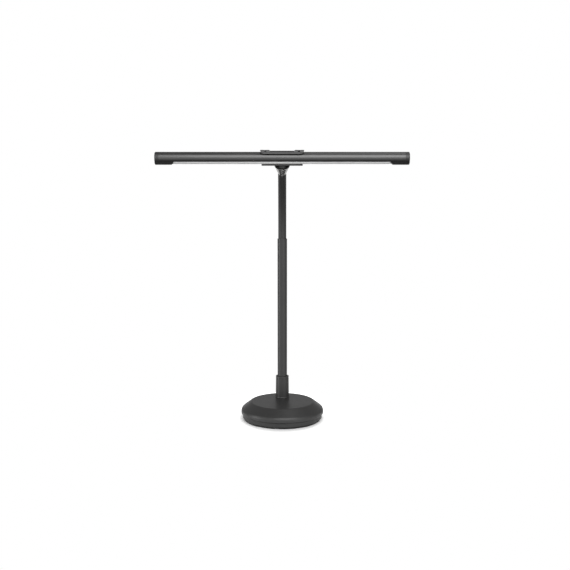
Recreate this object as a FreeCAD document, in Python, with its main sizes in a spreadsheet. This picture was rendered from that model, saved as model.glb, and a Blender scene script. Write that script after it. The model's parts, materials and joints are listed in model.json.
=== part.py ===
import FreeCAD, Part

import math
import os

import Sketcher
from FreeCAD import Placement, Rotation, Vector

# Piano lamp. Millimetres, +Z up, +X to the right, the user's side (front) is -Y.
# The origin is the centre of the round base, on the surface that the lamp stands on.

LINKS = 7  # gooseneck links between the fitting in the pole and the one in the cup
LED_COUNT = 28

SIZES = {
    # base: cover, plate and foot
    "rim_radius": 68.3,
    "rim_height": 7.4,
    "rim_lip": 0.9,
    "rim_round": 6.5,
    "rim_wall": 4.0,
    "skirt_run": 15.9,
    "skirt_rise": 12.0,
    "skirt_inset": 1.2,
    "plateau_round": 2.5,
    "cover_wall": 2.4,
    "shadow_gap": 0.5,
    "upstand_wall": 2.0,
    "upstand_rise": 4.1,
    "band_step": 2.6,
    "band_low": 3.2,
    "band_height": 7.2,
    "band_edge": 0.7,
    "plate_thickness": 2.2,
    "foot_step": 2.3,
    "foot_width": 6.4,
    "foot_seat": 0.8,
    "foot_edge": 0.8,
    # base: ballast and its screws
    "ballast_gap": 5.2,
    "ballast_side": 9.1,
    "ballast_top_gap": 5.8,
    "web_height": 8.9,
    "nut_room": 2.5,
    "bay_half_width": 16.0,
    "bay_overlap": 0.5,
    "screw_inset": 15.0,
    "pad_radius": 5.0,
    "pad_height": 5.8,
    "boss_radius": 3.6,
    "screw_radius": 1.6,
    "screw_head_step": 1.6,
    "screw_head_height": 1.6,
    "screw_sink": 1.4,
    "screw_grip": 15.8,
    # base: driver and inlet
    "jack_width": 9.0,
    "jack_length": 12.8,
    "jack_snout_radius": 4.1,
    "jack_snout_length": 3.7,
    "jack_inset": 3.0,
    "socket_radius": 2.75,
    "socket_depth": 9.5,
    "jack_pin_radius": 1.05,
    "jack_pin_length": 9.0,
    "driver_thickness": 1.4,
    "driver_room": 3.0,
    "driver_depth": 23.0,
    "driver_inset": 0.8,
    "post_radius": 2.0,
    "post_inset": 3.0,
    "part_inset": 10.0,
    "coil_radius": 4.2,
    "coil_height": 5.0,
    "capacitor_radius": 2.5,
    "capacitor_height": 8.0,
    "capacitor_inset": 4.5,
    "connector_inset": 3.0,
    "connector_width": 6.0,
    "connector_depth": 4.0,
    "connector_height": 5.0,
    # pole
    "pole_inset": 27.9,
    "pole_radius": 7.9,
    "pole_wall": 1.2,
    "pole_length": 268.5,
    "pole_edge": 0.3,
    "collar_wall": 2.7,
    "collar_taper": 0.4,
    "collar_lip": 0.4,
    "collar_lip_height": 1.4,
    "collar_height": 37.1,
    "collar_edge": 0.5,
    "collar_groove_depth": 0.25,
    "collar_groove_drop": 3.6,
    "collar_groove_width": 0.6,
    "stud_radius": 5.0,
    "stud_end": 0.4,
    "stud_plug_height": 17.0,
    "washer_width": 4.4,
    "washer_thickness": 1.6,
    "nut_height": 6.0,
    "nut_width": 4.2,
    "lead_radius": 1.5,
    "lead_room": 1.1,
    "lead_lift": 0.3,
    "lead_turn": 5.0,
    "lead_boot_wall": 0.4,
    # gooseneck
    "neck_stub": 7.0,
    "tip_stub": 10.0,
    "neck_arc": 100.0,
    "neck_lean": 38.0,
    "sleeve_wall": 1.95,
    "end_slope": 10.0,
    "joint_ball_radius": 2.6,
    "joint_fit": 0.05,
    "joint_neck_step": 0.7,
    "joint_neck_drop": 2.7,
    "socket_wall": 1.05,
    "socket_drop": 0.9,
    "socket_high": 1.6,
    "core_full_high": 3.2,
    "wire_radius": 1.1,
    "foot_depth": 31.0,
    "foot_sleeve_depth": 11.0,
    "foot_bore_room": 1.5,
    "foot_bore_top": 14.0,
    # swivel cup, seat and ball
    "thread_length": 4.0,
    "cup_foot_step": 0.3,
    "cup_foot_height": 1.0,
    "cup_waist_step": 0.1,
    "cup_waist_rise": 0.3,
    "cup_waist_height": 0.5,
    "cup_shoulder_step": 0.8,
    "cup_shoulder_rise": 0.8,
    "cup_lip": 0.85,
    "cup_rim_rise": 3.6,
    "cup_rim_room": 4.8,
    "cup_floor_inset": 0.2,
    "cup_floor_thickness": 1.0,
    "thread_step": 2.8,
    "seat_fit": 0.08,
    "seat_floor": 1.3,
    "seat_drop": 1.0,
    "seat_bore_radius": 1.6,
    "ball_radius": 7.4,
    "ball_flat": 5.9,
    "ball_shank_radius": 2.5,
    "ball_shank_length": 1.6,
    # saddle: bracket, cover, board and buttons
    "saddle_fit": 0.1,
    "saddle_wall": 2.6,
    "channel_skin": 1.0,
    "channel_half_width": 1.3,
    "shelf_wall": 2.3,
    "shelf_reach": 2.0,
    "saddle_back_wall": 7.4,
    "saddle_split": 4.2,
    "cover_half_length": 34.0,
    "bracket_inset": 1.65,
    "cover_front_wall": 1.0,
    "cover_lip_rise": 2.1,
    "cover_top_wall": 1.6,
    "cover_bevel": 0.8,
    "cover_corner_rise": 2.0,
    "cover_corner_run": 5.4,
    "bay_near_wall": 1.3,
    "bay_far_wall": 1.4,
    "bay_end_wall": 3.0,
    "bay_roof": 1.6,
    "board_low": 1.5,
    "board_fit": 0.1,
    "control_board_thickness": 1.0,
    "saddle_screw_side": 12.0,
    "saddle_screw_inset": 2.3,
    "saddle_screw_radius": 1.25,
    "saddle_screw_head_step": 1.05,
    "saddle_screw_head_height": 1.5,
    "saddle_screw_seat": 2.0,
    "saddle_screw_reach": 8.0,
    "saddle_boss_wall": 1.0,
    "cap_length": 15.2,
    "cap_overhang": 0.3,
    "cap_slope": 2.0,
    "cap_rise": 1.3,
    "cap_gap": 0.4,
    "cap_step": 0.8,
    "cap_edge": 0.3,
    "cap_front_inset": 0.2,
    "cap_back_inset": 1.8,
    "dish_radius": 70.0,
    "dish_depth": 0.25,
    "stem_radius": 1.5,
    "stem_fit": 0.15,
    "switch_length": 6.0,
    "switch_width": 4.4,
    "switch_height": 2.7,
    "plunger_radius": 1.2,
    "plunger_rise": 0.6,
    "plunger_length": 2.0,
    # light bar
    "bar_radius": 9.5,
    "bar_wall": 1.2,
    "bar_half_length": 200.0,
    "end_length": 6.7,
    "end_round": 1.5,
    "window_drop": 5.9,
    "web_thickness": 1.2,
    "web_lift": 0.6,
    "lead_slot_half_width": 4.0,
    "lead_slot_depth": 4.3,
    "lead_slot_low": 2.4,
    "lead_slot_high": 7.9,
    "diffuser_wall": 1.3,
    "diffuser_gap": 0.1,
    "leg_thickness": 1.2,
    "leg_rise": 2.0,
    "tongue_drop": 1.3,
    "tongue_length": 30.6,
    "tongue_slant": 5.2,
    "plug_length": 6.0,
    "plug_fit": 0.1,
    "plug_slot_room": 1.0,
    "led_board_half_width": 5.0,
    "led_board_gap": 0.8,
    "led_board_thickness": 1.0,
    "led_length": 3.5,
    "led_width": 2.8,
    "led_height": 0.8,
    # shared
    "slip_fit": 0.1,
    "clear_cut": 1.0,
}

document = FreeCAD.newDocument("piano_lamp")
sheet = document.addObject("Spreadsheet::Sheet", "sizes")
for row, (alias, value) in enumerate(SIZES.items(), start=1):
    sheet.set(f"A{row}", alias)
    sheet.set(f"B{row}", str(value))
    sheet.setAlias(f"B{row}", alias)
document.recompute()


class Size:
    """A length or angle of the lamp: its expression on the sheet, and its value now."""

    def __init__(self, text, value):
        self.text = text
        self.value = value

    def __add__(self, other):
        other = as_size(other)
        return Size(f"({self.text} + {other.text})", self.value + other.value)

    def __sub__(self, other):
        other = as_size(other)
        return Size(f"({self.text} - {other.text})", self.value - other.value)

    def __mul__(self, other):
        other = as_size(other)
        return Size(f"({self.text} * {other.text})", self.value * other.value)

    def __truediv__(self, other):
        other = as_size(other)
        return Size(f"({self.text} / {other.text})", self.value / other.value)

    def __rsub__(self, other):
        return as_size(other) - self

    def __neg__(self):
        return as_size(-1) * self

    __radd__ = __add__
    __rmul__ = __mul__


def as_size(value):
    return value if isinstance(value, Size) else Size(f"({value})", value)


def sine(angle):
    return Size(f"sin({angle.text})", math.sin(math.radians(angle.value)))


def cosine(angle):
    return Size(f"cos({angle.text})", math.cos(math.radians(angle.value)))


def tangent(angle):
    return Size(f"tan({angle.text})", math.tan(math.radians(angle.value)))


def root(size):
    return Size(f"sqrt({size.text})", math.sqrt(size.value))


class Lamp:
    """The driving sizes by name, each tied to its cell."""


lamp = Lamp()
for alias, value in SIZES.items():
    setattr(lamp, alias, Size(f"sizes.{alias}", value))

# Sizes that follow from the driving ones: the base, from the rim inwards.
lamp.cover_inner_radius = lamp.rim_radius - lamp.rim_wall
lamp.plateau_radius = lamp.rim_radius - lamp.skirt_run
lamp.upstand_radius = lamp.cover_inner_radius - lamp.slip_fit
lamp.band_radius = lamp.rim_radius - lamp.band_step
lamp.foot_outer_radius = lamp.band_radius - lamp.foot_step
lamp.foot_inner_radius = lamp.foot_outer_radius - lamp.foot_width
lamp.ballast_radius = lamp.upstand_radius - lamp.upstand_wall - lamp.ballast_gap
lamp.ballast_top_radius = lamp.plateau_radius - lamp.skirt_inset - lamp.ballast_top_gap
lamp.screw_circle = lamp.ballast_radius - lamp.screw_inset
lamp.screw_head_radius = lamp.screw_radius + lamp.screw_head_step

# Heights in the base, from the foot up.
lamp.foot_height = lamp.band_low + lamp.foot_seat
lamp.plate_top = lamp.band_low + lamp.plate_thickness
lamp.pad_high = lamp.band_low + lamp.pad_height
lamp.screw_head_low = lamp.band_low + lamp.screw_sink
lamp.screw_head_top = lamp.screw_head_low + lamp.screw_head_height
lamp.screw_reach = lamp.screw_head_top + lamp.screw_grip
lamp.band_high = lamp.band_low + lamp.band_height
lamp.upstand_high = lamp.band_high + lamp.upstand_rise
lamp.rim_low = lamp.band_high + lamp.shadow_gap
lamp.rim_high = lamp.rim_low + lamp.rim_height
lamp.base_height = lamp.rim_high + lamp.skirt_rise
lamp.cover_under = lamp.base_height - lamp.cover_wall
lamp.web_low = lamp.cover_under - lamp.web_height
lamp.ballast_shoulder = lamp.plate_top + lamp.ballast_side

# The inlet and the driver, from the mouth of the inlet inwards.
lamp.jack_height = lamp.plate_top + lamp.jack_width / 2
lamp.jack_mouth = lamp.rim_radius - lamp.jack_inset
lamp.jack_back = lamp.jack_mouth - lamp.jack_snout_length
lamp.jack_front = lamp.jack_back - lamp.jack_length
lamp.driver_back = lamp.jack_back - lamp.driver_inset
lamp.driver_front = lamp.driver_back - lamp.driver_depth
lamp.driver_low = lamp.plate_top + lamp.jack_width
lamp.driver_top = lamp.driver_low + lamp.driver_thickness
lamp.driver_half_width = lamp.bay_half_width - lamp.driver_room
lamp.post_side = lamp.driver_half_width - lamp.post_inset
lamp.capacitor_side = lamp.driver_half_width - lamp.capacitor_inset
lamp.part_row = lamp.driver_back - lamp.part_inset
lamp.post_row = lamp.driver_front + lamp.connector_inset

# The pole and what holds it.
lamp.pole_offset = lamp.plateau_radius - lamp.pole_inset
lamp.pole_bore = lamp.pole_radius - lamp.pole_wall
lamp.pole_top = lamp.base_height + lamp.pole_length
lamp.collar_bore = lamp.pole_radius + lamp.slip_fit
lamp.collar_radius = lamp.collar_bore + lamp.collar_wall
lamp.collar_foot_radius = lamp.collar_radius + lamp.collar_taper
lamp.collar_lip_radius = lamp.collar_foot_radius + lamp.collar_lip
lamp.stud_hole_radius = lamp.stud_radius + lamp.slip_fit
lamp.stud_bore_radius = lamp.lead_radius + lamp.lead_room
lamp.washer_radius = lamp.stud_hole_radius + lamp.washer_width
lamp.washer_low = lamp.web_low - lamp.washer_thickness
lamp.nut_low = lamp.washer_low - lamp.nut_height
lamp.nut_corner_radius = lamp.stud_radius + lamp.nut_width
lamp.nut_room_radius = lamp.washer_radius + lamp.nut_room
lamp.stud_low = lamp.nut_low - lamp.stud_end
lamp.bay_front = lamp.pole_offset + lamp.nut_room_radius - lamp.bay_overlap
lamp.lead_boot_radius = lamp.lead_radius + lamp.lead_boot_wall
lamp.lead_height = lamp.plate_top + lamp.lead_radius + lamp.lead_lift

# The gooseneck: hinges on an arc, and links straight between them.
lamp.neck_radius = lamp.pole_bore - lamp.slip_fit
lamp.core_radius = lamp.neck_radius - lamp.sleeve_wall
lamp.joint_socket_radius = lamp.joint_ball_radius + lamp.joint_fit
lamp.joint_neck_radius = lamp.joint_ball_radius - lamp.joint_neck_step
lamp.socket_outer_radius = lamp.joint_socket_radius + lamp.socket_wall
lamp.end_rise = tangent(lamp.end_slope)
lamp.foot_bore_radius = lamp.lead_radius + lamp.foot_bore_room
lamp.link_turn = lamp.neck_lean / LINKS
lamp.bend_radius = lamp.neck_arc * 180 / (lamp.neck_lean * math.pi)
lamp.link_length = 2 * lamp.bend_radius * sine(lamp.link_turn / 2)
lamp.first_hinge = lamp.pole_top + lamp.neck_stub
lamp.last_hinge_y = lamp.pole_offset - lamp.bend_radius * (1 - cosine(lamp.neck_lean))
lamp.last_hinge_z = lamp.first_hinge + lamp.bend_radius * sine(lamp.neck_lean)

# The cup, along the gooseneck's end from its last hinge.
lamp.thread_high = lamp.tip_stub + lamp.thread_length
lamp.cup_foot_radius = lamp.neck_radius - lamp.cup_foot_step
lamp.cup_waist_radius = lamp.cup_foot_radius - lamp.cup_waist_step
lamp.thread_radius = lamp.cup_waist_radius - lamp.thread_step
lamp.cup_foot_high = lamp.tip_stub + lamp.cup_foot_height
lamp.cup_waist_low = lamp.cup_foot_high + lamp.cup_waist_rise
lamp.cup_waist_high = lamp.cup_waist_low + lamp.cup_waist_height
lamp.cup_shoulder_radius = lamp.cup_waist_radius + lamp.cup_shoulder_step
lamp.cup_shoulder_high = lamp.cup_waist_high + lamp.cup_shoulder_rise
lamp.cup_floor_high = lamp.thread_high + lamp.cup_floor_thickness
lamp.cup_floor_radius = lamp.cup_waist_radius - lamp.cup_floor_inset
lamp.ball_centre = lamp.cup_floor_high + lamp.seat_floor + lamp.ball_radius
lamp.cup_rim_high = lamp.ball_centre + lamp.cup_rim_rise
lamp.cup_rim_radius = lamp.ball_radius + lamp.cup_rim_room
lamp.seat_low = lamp.cup_floor_high + lamp.slip_fit
lamp.seat_high = lamp.cup_rim_high - lamp.seat_drop

# The saddle, round the light bar's axis.
lamp.saddle_bore = lamp.bar_radius + lamp.saddle_fit
lamp.saddle_skin = lamp.saddle_bore + lamp.saddle_wall
lamp.shelf_low = lamp.saddle_bore + lamp.shelf_wall
lamp.saddle_back = lamp.saddle_bore + lamp.saddle_back_wall
lamp.bracket_half_length = lamp.cover_half_length - lamp.bracket_inset
lamp.cover_front = lamp.saddle_bore + lamp.cover_front_wall
lamp.cover_lip_low = lamp.saddle_split + lamp.cover_lip_rise
lamp.cover_top = lamp.saddle_bore + lamp.cover_top_wall
lamp.bay_near = lamp.saddle_bore + lamp.bay_near_wall
lamp.bay_far = lamp.saddle_back - lamp.bay_far_wall
lamp.bay_half_length = lamp.cover_half_length - lamp.bay_end_wall
lamp.bay_high = lamp.cover_top - lamp.bay_roof
lamp.board_top = lamp.board_low + lamp.control_board_thickness
lamp.saddle_screw_back = lamp.bay_near + lamp.saddle_screw_inset
lamp.saddle_screw_head_radius = lamp.saddle_screw_radius + lamp.saddle_screw_head_step
lamp.saddle_boss_radius = lamp.saddle_screw_radius + lamp.saddle_boss_wall
lamp.cap_outer = lamp.cover_half_length + lamp.cap_overhang
lamp.cap_inner = lamp.cap_outer - lamp.cap_length
lamp.cap_top = lamp.cover_top + lamp.cap_rise
lamp.cap_seat = lamp.cover_top - lamp.cap_step
lamp.cap_low = lamp.cap_seat + lamp.cap_gap
lamp.cap_front = lamp.cover_front - lamp.cap_front_inset
lamp.cap_back = lamp.saddle_back - lamp.cap_back_inset
lamp.button_x = (lamp.cap_inner + lamp.cap_outer) / 2
lamp.switch_top = lamp.board_top + lamp.switch_height
lamp.stem_low = lamp.switch_top + lamp.plunger_rise
lamp.plunger_low = lamp.stem_low - lamp.plunger_length

# The light bar.
lamp.bar_from_hinge = lamp.ball_centre + lamp.ball_flat + lamp.saddle_skin
lamp.bar_y = lamp.last_hinge_y - lamp.bar_from_hinge * sine(lamp.neck_lean)
lamp.bar_z = lamp.last_hinge_z + lamp.bar_from_hinge * cosine(lamp.neck_lean)
lamp.bar_bore = lamp.bar_radius - lamp.bar_wall
lamp.housing_half_length = lamp.bar_half_length - lamp.end_length
lamp.lead_slot_near = lamp.bar_radius - lamp.lead_slot_depth
lamp.window_half_width = root(lamp.bar_bore * lamp.bar_bore - lamp.window_drop * lamp.window_drop)
lamp.leg_outer = lamp.window_half_width - lamp.diffuser_gap
lamp.tongue_start = lamp.bar_half_length - lamp.tongue_length
lamp.tongue_low = lamp.bar_radius + lamp.tongue_drop
lamp.led_board_half_length = lamp.housing_half_length - lamp.plug_length - lamp.led_board_gap
lamp.led_pitch = 2 * lamp.led_board_half_length / LED_COUNT
lamp.led_board_low = lamp.web_lift - lamp.led_board_thickness

nodes = {}


def bind(item, name, size):
    size = as_size(size)
    item.setExpression(name, size.text)


def place(item, x=0, y=0, z=0, lean=None):
    """Puts an object at x, y, z, leaned forward about X where lean is given."""
    if lean is not None:
        item.Placement = Placement(Vector(), Rotation(Vector(1, 0, 0), lean.value))
        bind(item, "Placement.Rotation.Angle", lean)
    for name, size in (("x", x), ("y", y), ("z", z)):
        bind(item, f"Placement.Base.{name}", size)
    return item


def in_cup_frame(item):
    """The last hinge of the gooseneck is the origin, and Z runs along its end."""
    return place(item, 0, lamp.last_hinge_y, lamp.last_hinge_z, lamp.neck_lean)


def in_bar_frame(item):
    """The middle of the light bar's axis is the origin."""
    return place(item, 0, lamp.bar_y, lamp.bar_z)


def node(item, name):
    item.Label = name
    nodes[name] = item
    return item


def box(name, low, high):
    """A block between two opposite corners."""
    item = document.addObject("Part::Box", name)
    for side, axis, start, end in zip(("Length", "Width", "Height"), "xyz", low, high):
        bind(item, side, as_size(end) - start)
        bind(item, f"Placement.Base.{axis}", start)
    return item


def cylinder(name, radius, start, length, along="z"):
    """A round bar from a start point along one axis."""
    item = document.addObject("Part::Cylinder", name)
    turns = {"x": Rotation(Vector(0, 1, 0), 90), "y": Rotation(Vector(1, 0, 0), -90)}
    item.Placement = Placement(Vector(), turns.get(along, Rotation()))
    bind(item, "Radius", radius)
    bind(item, "Height", length)
    for axis, size in zip("xyz", start):
        bind(item, f"Placement.Base.{axis}", size)
    return item


def sphere(name, radius, height):
    item = document.addObject("Part::Sphere", name)
    bind(item, "Radius", radius)
    bind(item, "Placement.Base.z", height)
    return item


def fuse(name, *items):
    item = document.addObject("Part::MultiFuse", name)
    item.Shapes = list(items)
    return item


def common(name, first, second):
    item = document.addObject("Part::Common", name)
    item.Base = first
    item.Tool = second
    return item


def cut(name, base, *tools):
    item = document.addObject("Part::Cut", name)
    item.Base = base
    item.Tool = tools[0] if len(tools) == 1 else fuse(f"{name}_tools", *tools)
    return item


def group(name, items):
    """Several separate solids in one node."""
    item = document.addObject("Part::Compound", name)
    item.Links = items
    return item


def pattern(name, item, copies):
    """A copy of an object at each of the given offsets."""
    made = []
    for number, (x, y, z) in enumerate(copies, start=1):
        link = document.addObject("Part::Compound", f"{name}_{number}")
        link.Links = [item]
        made.append(place(link, x, y, z))
    return made


def origin_plane(body, role):
    return next(f for f in body.Origin.OriginFeatures if f.Role == role)


def outline_sketch(body, role, outline):
    """A closed outline. Each corner is (across, up), or (across, up, radius) where it is rounded."""
    sketch = body.newObject("Sketcher::SketchObject", f"{body.Name}_outline")
    sketch.AttachmentSupport = [(origin_plane(body, role), "")]
    sketch.MapMode = "FlatFace"
    corners = [[as_size(size) for size in corner] for corner in outline]
    points = [Vector(corner[0].value, corner[1].value, 0) for corner in corners]
    count = len(corners)
    edge_starts, edge_ends, middles = [], [], []
    for number, corner in enumerate(corners):
        back = (points[number - 1] - points[number]).normalize()
        ahead = (points[(number + 1) % count] - points[number]).normalize()
        radius = corner[2].value if len(corner) == 3 else 0
        half_angle = back.getAngle(ahead) / 2
        reach = radius / math.tan(half_angle)
        edge_ends.append(points[number] + back * reach)
        edge_starts.append(points[number] + ahead * reach)
        depth = radius / math.sin(half_angle) - radius
        middles.append(points[number] + (back + ahead).normalize() * depth)
    for number in range(count):
        sketch.addGeometry(Part.LineSegment(edge_starts[number], edge_ends[(number + 1) % count]))
    for number, corner in enumerate(corners):
        if len(corner) == 3:
            before = (number - 1) % count
            ends = (edge_ends[number], middles[number], edge_starts[number])
            arc = round_corner(sketch, before, number, *ends)
            index = sketch.addConstraint(Sketcher.Constraint("Radius", arc, corner[2].value))
            sketch.setExpression(f"Constraints[{index}]", corner[2].text)
            held = sketch.addGeometry(Part.Point(points[number]), True)
            sketch.addConstraint(Sketcher.Constraint("PointOnObject", held, 1, before))
            sketch.addConstraint(Sketcher.Constraint("PointOnObject", held, 1, number))
        else:
            held = number
            tie = Sketcher.Constraint("Coincident", (number - 1) % count, 2, number, 1)
            sketch.addConstraint(tie)
        for kind, size, own_axis in (("DistanceX", corner[0], -2), ("DistanceY", corner[1], -1)):
            if size.value == 0:
                sketch.addConstraint(Sketcher.Constraint("PointOnObject", held, 1, own_axis))
                continue
            index = sketch.addConstraint(Sketcher.Constraint(kind, -1, 1, held, 1, size.value))
            sketch.setExpression(f"Constraints[{index}]", size.text)
    return sketch


def round_corner(sketch, before, after, start, middle, end):
    """An arc from the edge before a corner to the edge after it, tangent to both."""
    arc = sketch.addGeometry(Part.Arc(start, middle, end))
    points = [sketch.getPoint(arc, position) for position in (1, 2)]
    runs_forward = points[0].distanceToPoint(start) < points[1].distanceToPoint(start)
    first, last = (1, 2) if runs_forward else (2, 1)
    sketch.addConstraint(Sketcher.Constraint("Tangent", before, 2, arc, first))
    sketch.addConstraint(Sketcher.Constraint("Tangent", after, 1, arc, last))
    return arc


def turned(name, outline):
    """A piece turned about its own Z. A corner is (radius, height), or (radius, height, round)."""
    body = document.addObject("PartDesign::Body", name)
    sketch = outline_sketch(body, "XZ_Plane", outline)
    solid = body.newObject("PartDesign::Revolution", f"{name}_turned")
    solid.Profile = sketch
    solid.ReferenceAxis = (sketch, ["V_Axis"])
    solid.Angle = 360
    sketch.Visibility = False
    body.Tip = solid
    return body


def padded(name, role, outline, length):
    """An outline pushed out along its plane's normal by a length."""
    body = document.addObject("PartDesign::Body", name)
    sketch = outline_sketch(body, role, outline)
    solid = body.newObject("PartDesign::Pad", f"{name}_pad")
    solid.Profile = sketch
    bind(solid, "Length", length)
    sketch.Visibility = False
    return body


# ---------------------------------------------------------------- base


def screw_spots():
    """The four base screws, on the diagonals."""
    side = lamp.screw_circle * math.sqrt(0.5)
    return [(side, side, 0), (-side, side, 0), (-side, -side, 0), (side, -side, 0)]


def jack_hole(name):
    radius = lamp.jack_snout_radius + lamp.slip_fit
    start = (0, lamp.jack_back - lamp.clear_cut, lamp.jack_height)
    return cylinder(name, radius, start, lamp.rim_radius, "y")


def foot_ring():
    ring = turned(
        "foot_ring",
        [
            (lamp.foot_inner_radius, 0),
            (lamp.foot_outer_radius - lamp.foot_edge, 0),
            (lamp.foot_outer_radius, lamp.foot_edge),
            (lamp.foot_outer_radius, lamp.foot_height),
            (lamp.foot_inner_radius, lamp.foot_height),
        ],
    )
    node(ring, "foot_ring")


def base_plate():
    groove_inner = lamp.foot_inner_radius - lamp.slip_fit
    groove_outer = lamp.foot_outer_radius + lamp.slip_fit
    pan = turned(
        "plate_pan",
        [
            (0, lamp.band_low),
            (groove_inner, lamp.band_low),
            (groove_inner, lamp.foot_height),
            (groove_outer, lamp.foot_height),
            (groove_outer, lamp.band_low),
            (lamp.band_radius - lamp.band_edge, lamp.band_low),
            (lamp.band_radius, lamp.band_low + lamp.band_edge),
            (lamp.band_radius, lamp.band_high - lamp.band_edge),
            (lamp.band_radius - lamp.band_edge, lamp.band_high),
            (lamp.upstand_radius, lamp.band_high),
            (lamp.upstand_radius, lamp.upstand_high),
            (lamp.upstand_radius - lamp.upstand_wall, lamp.upstand_high),
            (lamp.upstand_radius - lamp.upstand_wall, lamp.plate_top),
            (0, lamp.plate_top),
        ],
    )
    pad = cylinder("plate_pad", lamp.pad_radius, (0, 0, lamp.band_low), lamp.pad_high - lamp.band_low)
    pads = pattern("plate_pads", pad, screw_spots())
    posts = [
        cylinder(
            f"plate_post_{number}",
            lamp.post_radius,
            (side * lamp.post_side, lamp.post_row, lamp.band_low),
            lamp.driver_low - lamp.band_low,
        )
        for number, side in enumerate((-1, 1), start=1)
    ]
    sink = cylinder(
        "plate_sink",
        lamp.screw_head_radius + lamp.slip_fit,
        (0, 0, lamp.band_low - lamp.clear_cut),
        lamp.screw_head_top - lamp.band_low + lamp.clear_cut,
    )
    hole = cylinder("plate_hole", lamp.screw_radius + lamp.slip_fit, (0, 0, 0), lamp.base_height)
    sinks = pattern("plate_sinks", fuse("plate_screw_room", sink, hole), screw_spots())
    solid = fuse("plate_solid", pan, *pads, *posts)
    node(cut("base_plate", solid, *sinks, jack_hole("plate_jack_hole")), "base_plate")


def base_cover():
    shell = turned(
        "cover_shell",
        [
            (lamp.cover_inner_radius, lamp.rim_low),
            (lamp.rim_radius - lamp.rim_lip, lamp.rim_low),
            (lamp.rim_radius, lamp.rim_low + lamp.rim_lip),
            (lamp.rim_radius, lamp.rim_high, lamp.rim_round),
            (lamp.plateau_radius, lamp.base_height, lamp.plateau_round),
            (0, lamp.base_height),
            (0, lamp.cover_under),
            (lamp.plateau_radius - lamp.skirt_inset, lamp.cover_under),
            (lamp.cover_inner_radius, lamp.rim_high - lamp.cover_wall),
        ],
    )
    boss_low = lamp.pad_high + lamp.slip_fit
    boss = cylinder("cover_boss", lamp.boss_radius, (0, 0, boss_low), lamp.base_height - boss_low - 1)
    bosses = pattern("cover_bosses", boss, screw_spots())
    pilot = cylinder("cover_pilot", lamp.screw_radius, (0, 0, 0), lamp.screw_reach + lamp.clear_cut)
    pilots = pattern("cover_pilots", pilot, screw_spots())
    stud_hole = cylinder(
        "cover_stud_hole",
        lamp.stud_radius + lamp.slip_fit,
        (0, lamp.pole_offset, 0),
        lamp.base_height + lamp.clear_cut,
    )
    solid = fuse("cover_solid", shell, *bosses)
    tools = [*pilots, stud_hole, jack_hole("cover_jack_hole")]
    node(cut("base_cover", solid, *tools), "base_cover")


def ballast():
    disc = turned(
        "ballast_disc",
        [
            (0, lamp.plate_top),
            (lamp.ballast_radius, lamp.plate_top),
            (lamp.ballast_radius, lamp.ballast_shoulder),
            (lamp.ballast_top_radius, lamp.cover_under),
            (0, lamp.cover_under),
        ],
    )
    bay = box(
        "ballast_bay",
        (-lamp.bay_half_width, lamp.bay_front, 0),
        (lamp.bay_half_width, lamp.rim_radius, lamp.base_height),
    )
    nut_room = cylinder("ballast_nut_room", lamp.nut_room_radius, (0, lamp.pole_offset, 0), lamp.web_low)
    stud_hole = cylinder(
        "ballast_stud_hole",
        lamp.stud_radius + lamp.slip_fit,
        (0, lamp.pole_offset, 0),
        lamp.base_height,
    )
    hole = cylinder("ballast_hole", lamp.pad_radius + 4 * lamp.slip_fit, (0, 0, 0), lamp.base_height)
    holes = pattern("ballast_holes", hole, screw_spots())
    node(cut("ballast", disc, bay, nut_room, stud_hole, *holes), "ballast")


def base_screws():
    head = cylinder(
        "screw_head",
        lamp.screw_head_radius,
        (0, 0, lamp.screw_head_low),
        lamp.screw_head_height,
    )
    start = (0, 0, lamp.screw_head_top)
    shank = cylinder("screw_shank", lamp.screw_radius, start, lamp.screw_reach - lamp.screw_head_top)
    drive = cylinder(
        "screw_drive",
        lamp.screw_radius,
        (0, 0, lamp.screw_head_low - lamp.clear_cut),
        lamp.screw_head_height / 2 + lamp.clear_cut,
    )
    screw = cut("base_screw", fuse("screw_solid", head, shank), drive)
    node(group("base_screws", pattern("base_screw_spots", screw, screw_spots())), "base_screws")


def dc_jack():
    half = lamp.jack_width / 2
    block = box(
        "jack_block",
        (-half, lamp.jack_front, lamp.jack_height - half),
        (half, lamp.jack_back, lamp.jack_height + half),
    )
    snout = cylinder(
        "jack_snout",
        lamp.jack_snout_radius,
        (0, lamp.jack_back - lamp.clear_cut, lamp.jack_height),
        lamp.jack_mouth - lamp.jack_back + lamp.clear_cut,
        "y",
    )
    socket = cylinder(
        "jack_socket",
        lamp.socket_radius,
        (0, lamp.jack_mouth - lamp.socket_depth, lamp.jack_height),
        lamp.socket_depth + lamp.clear_cut,
        "y",
    )
    node(cut("dc_jack", fuse("jack_solid", block, snout), socket), "dc_jack")
    pin_start = (0, lamp.jack_mouth - lamp.socket_depth, lamp.jack_height)
    pin = cylinder("jack_pin", lamp.jack_pin_radius, pin_start, lamp.jack_pin_length, "y")
    node(pin, "jack_pin")


def driver():
    board = box(
        "driver_board",
        (-lamp.driver_half_width, lamp.driver_front, lamp.driver_low),
        (lamp.driver_half_width, lamp.driver_back, lamp.driver_top),
    )
    node(board, "driver_board")
    coil = cylinder("coil_body", lamp.coil_radius, (0, lamp.part_row, lamp.driver_top), lamp.coil_height)
    eye = cylinder("coil_eye", lamp.coil_radius / 3, (0, lamp.part_row, 0), lamp.base_height)
    node(cut("driver_coil", coil, eye), "driver_coil")
    cans = [
        cylinder(
            f"capacitor_{number}",
            lamp.capacitor_radius,
            (side * lamp.capacitor_side, lamp.part_row, lamp.driver_top),
            lamp.capacitor_height,
        )
        for number, side in enumerate((-1, 1), start=1)
    ]
    node(group("driver_capacitors", cans), "driver_capacitors")
    front = lamp.driver_front + lamp.clear_cut
    half = lamp.connector_width / 2
    connector = box(
        "lead_connector",
        (-half, front, lamp.driver_low - lamp.connector_height),
        (half, front + lamp.connector_depth, lamp.driver_low),
    )
    node(connector, "lead_connector")


# ---------------------------------------------------------------- pole


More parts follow.
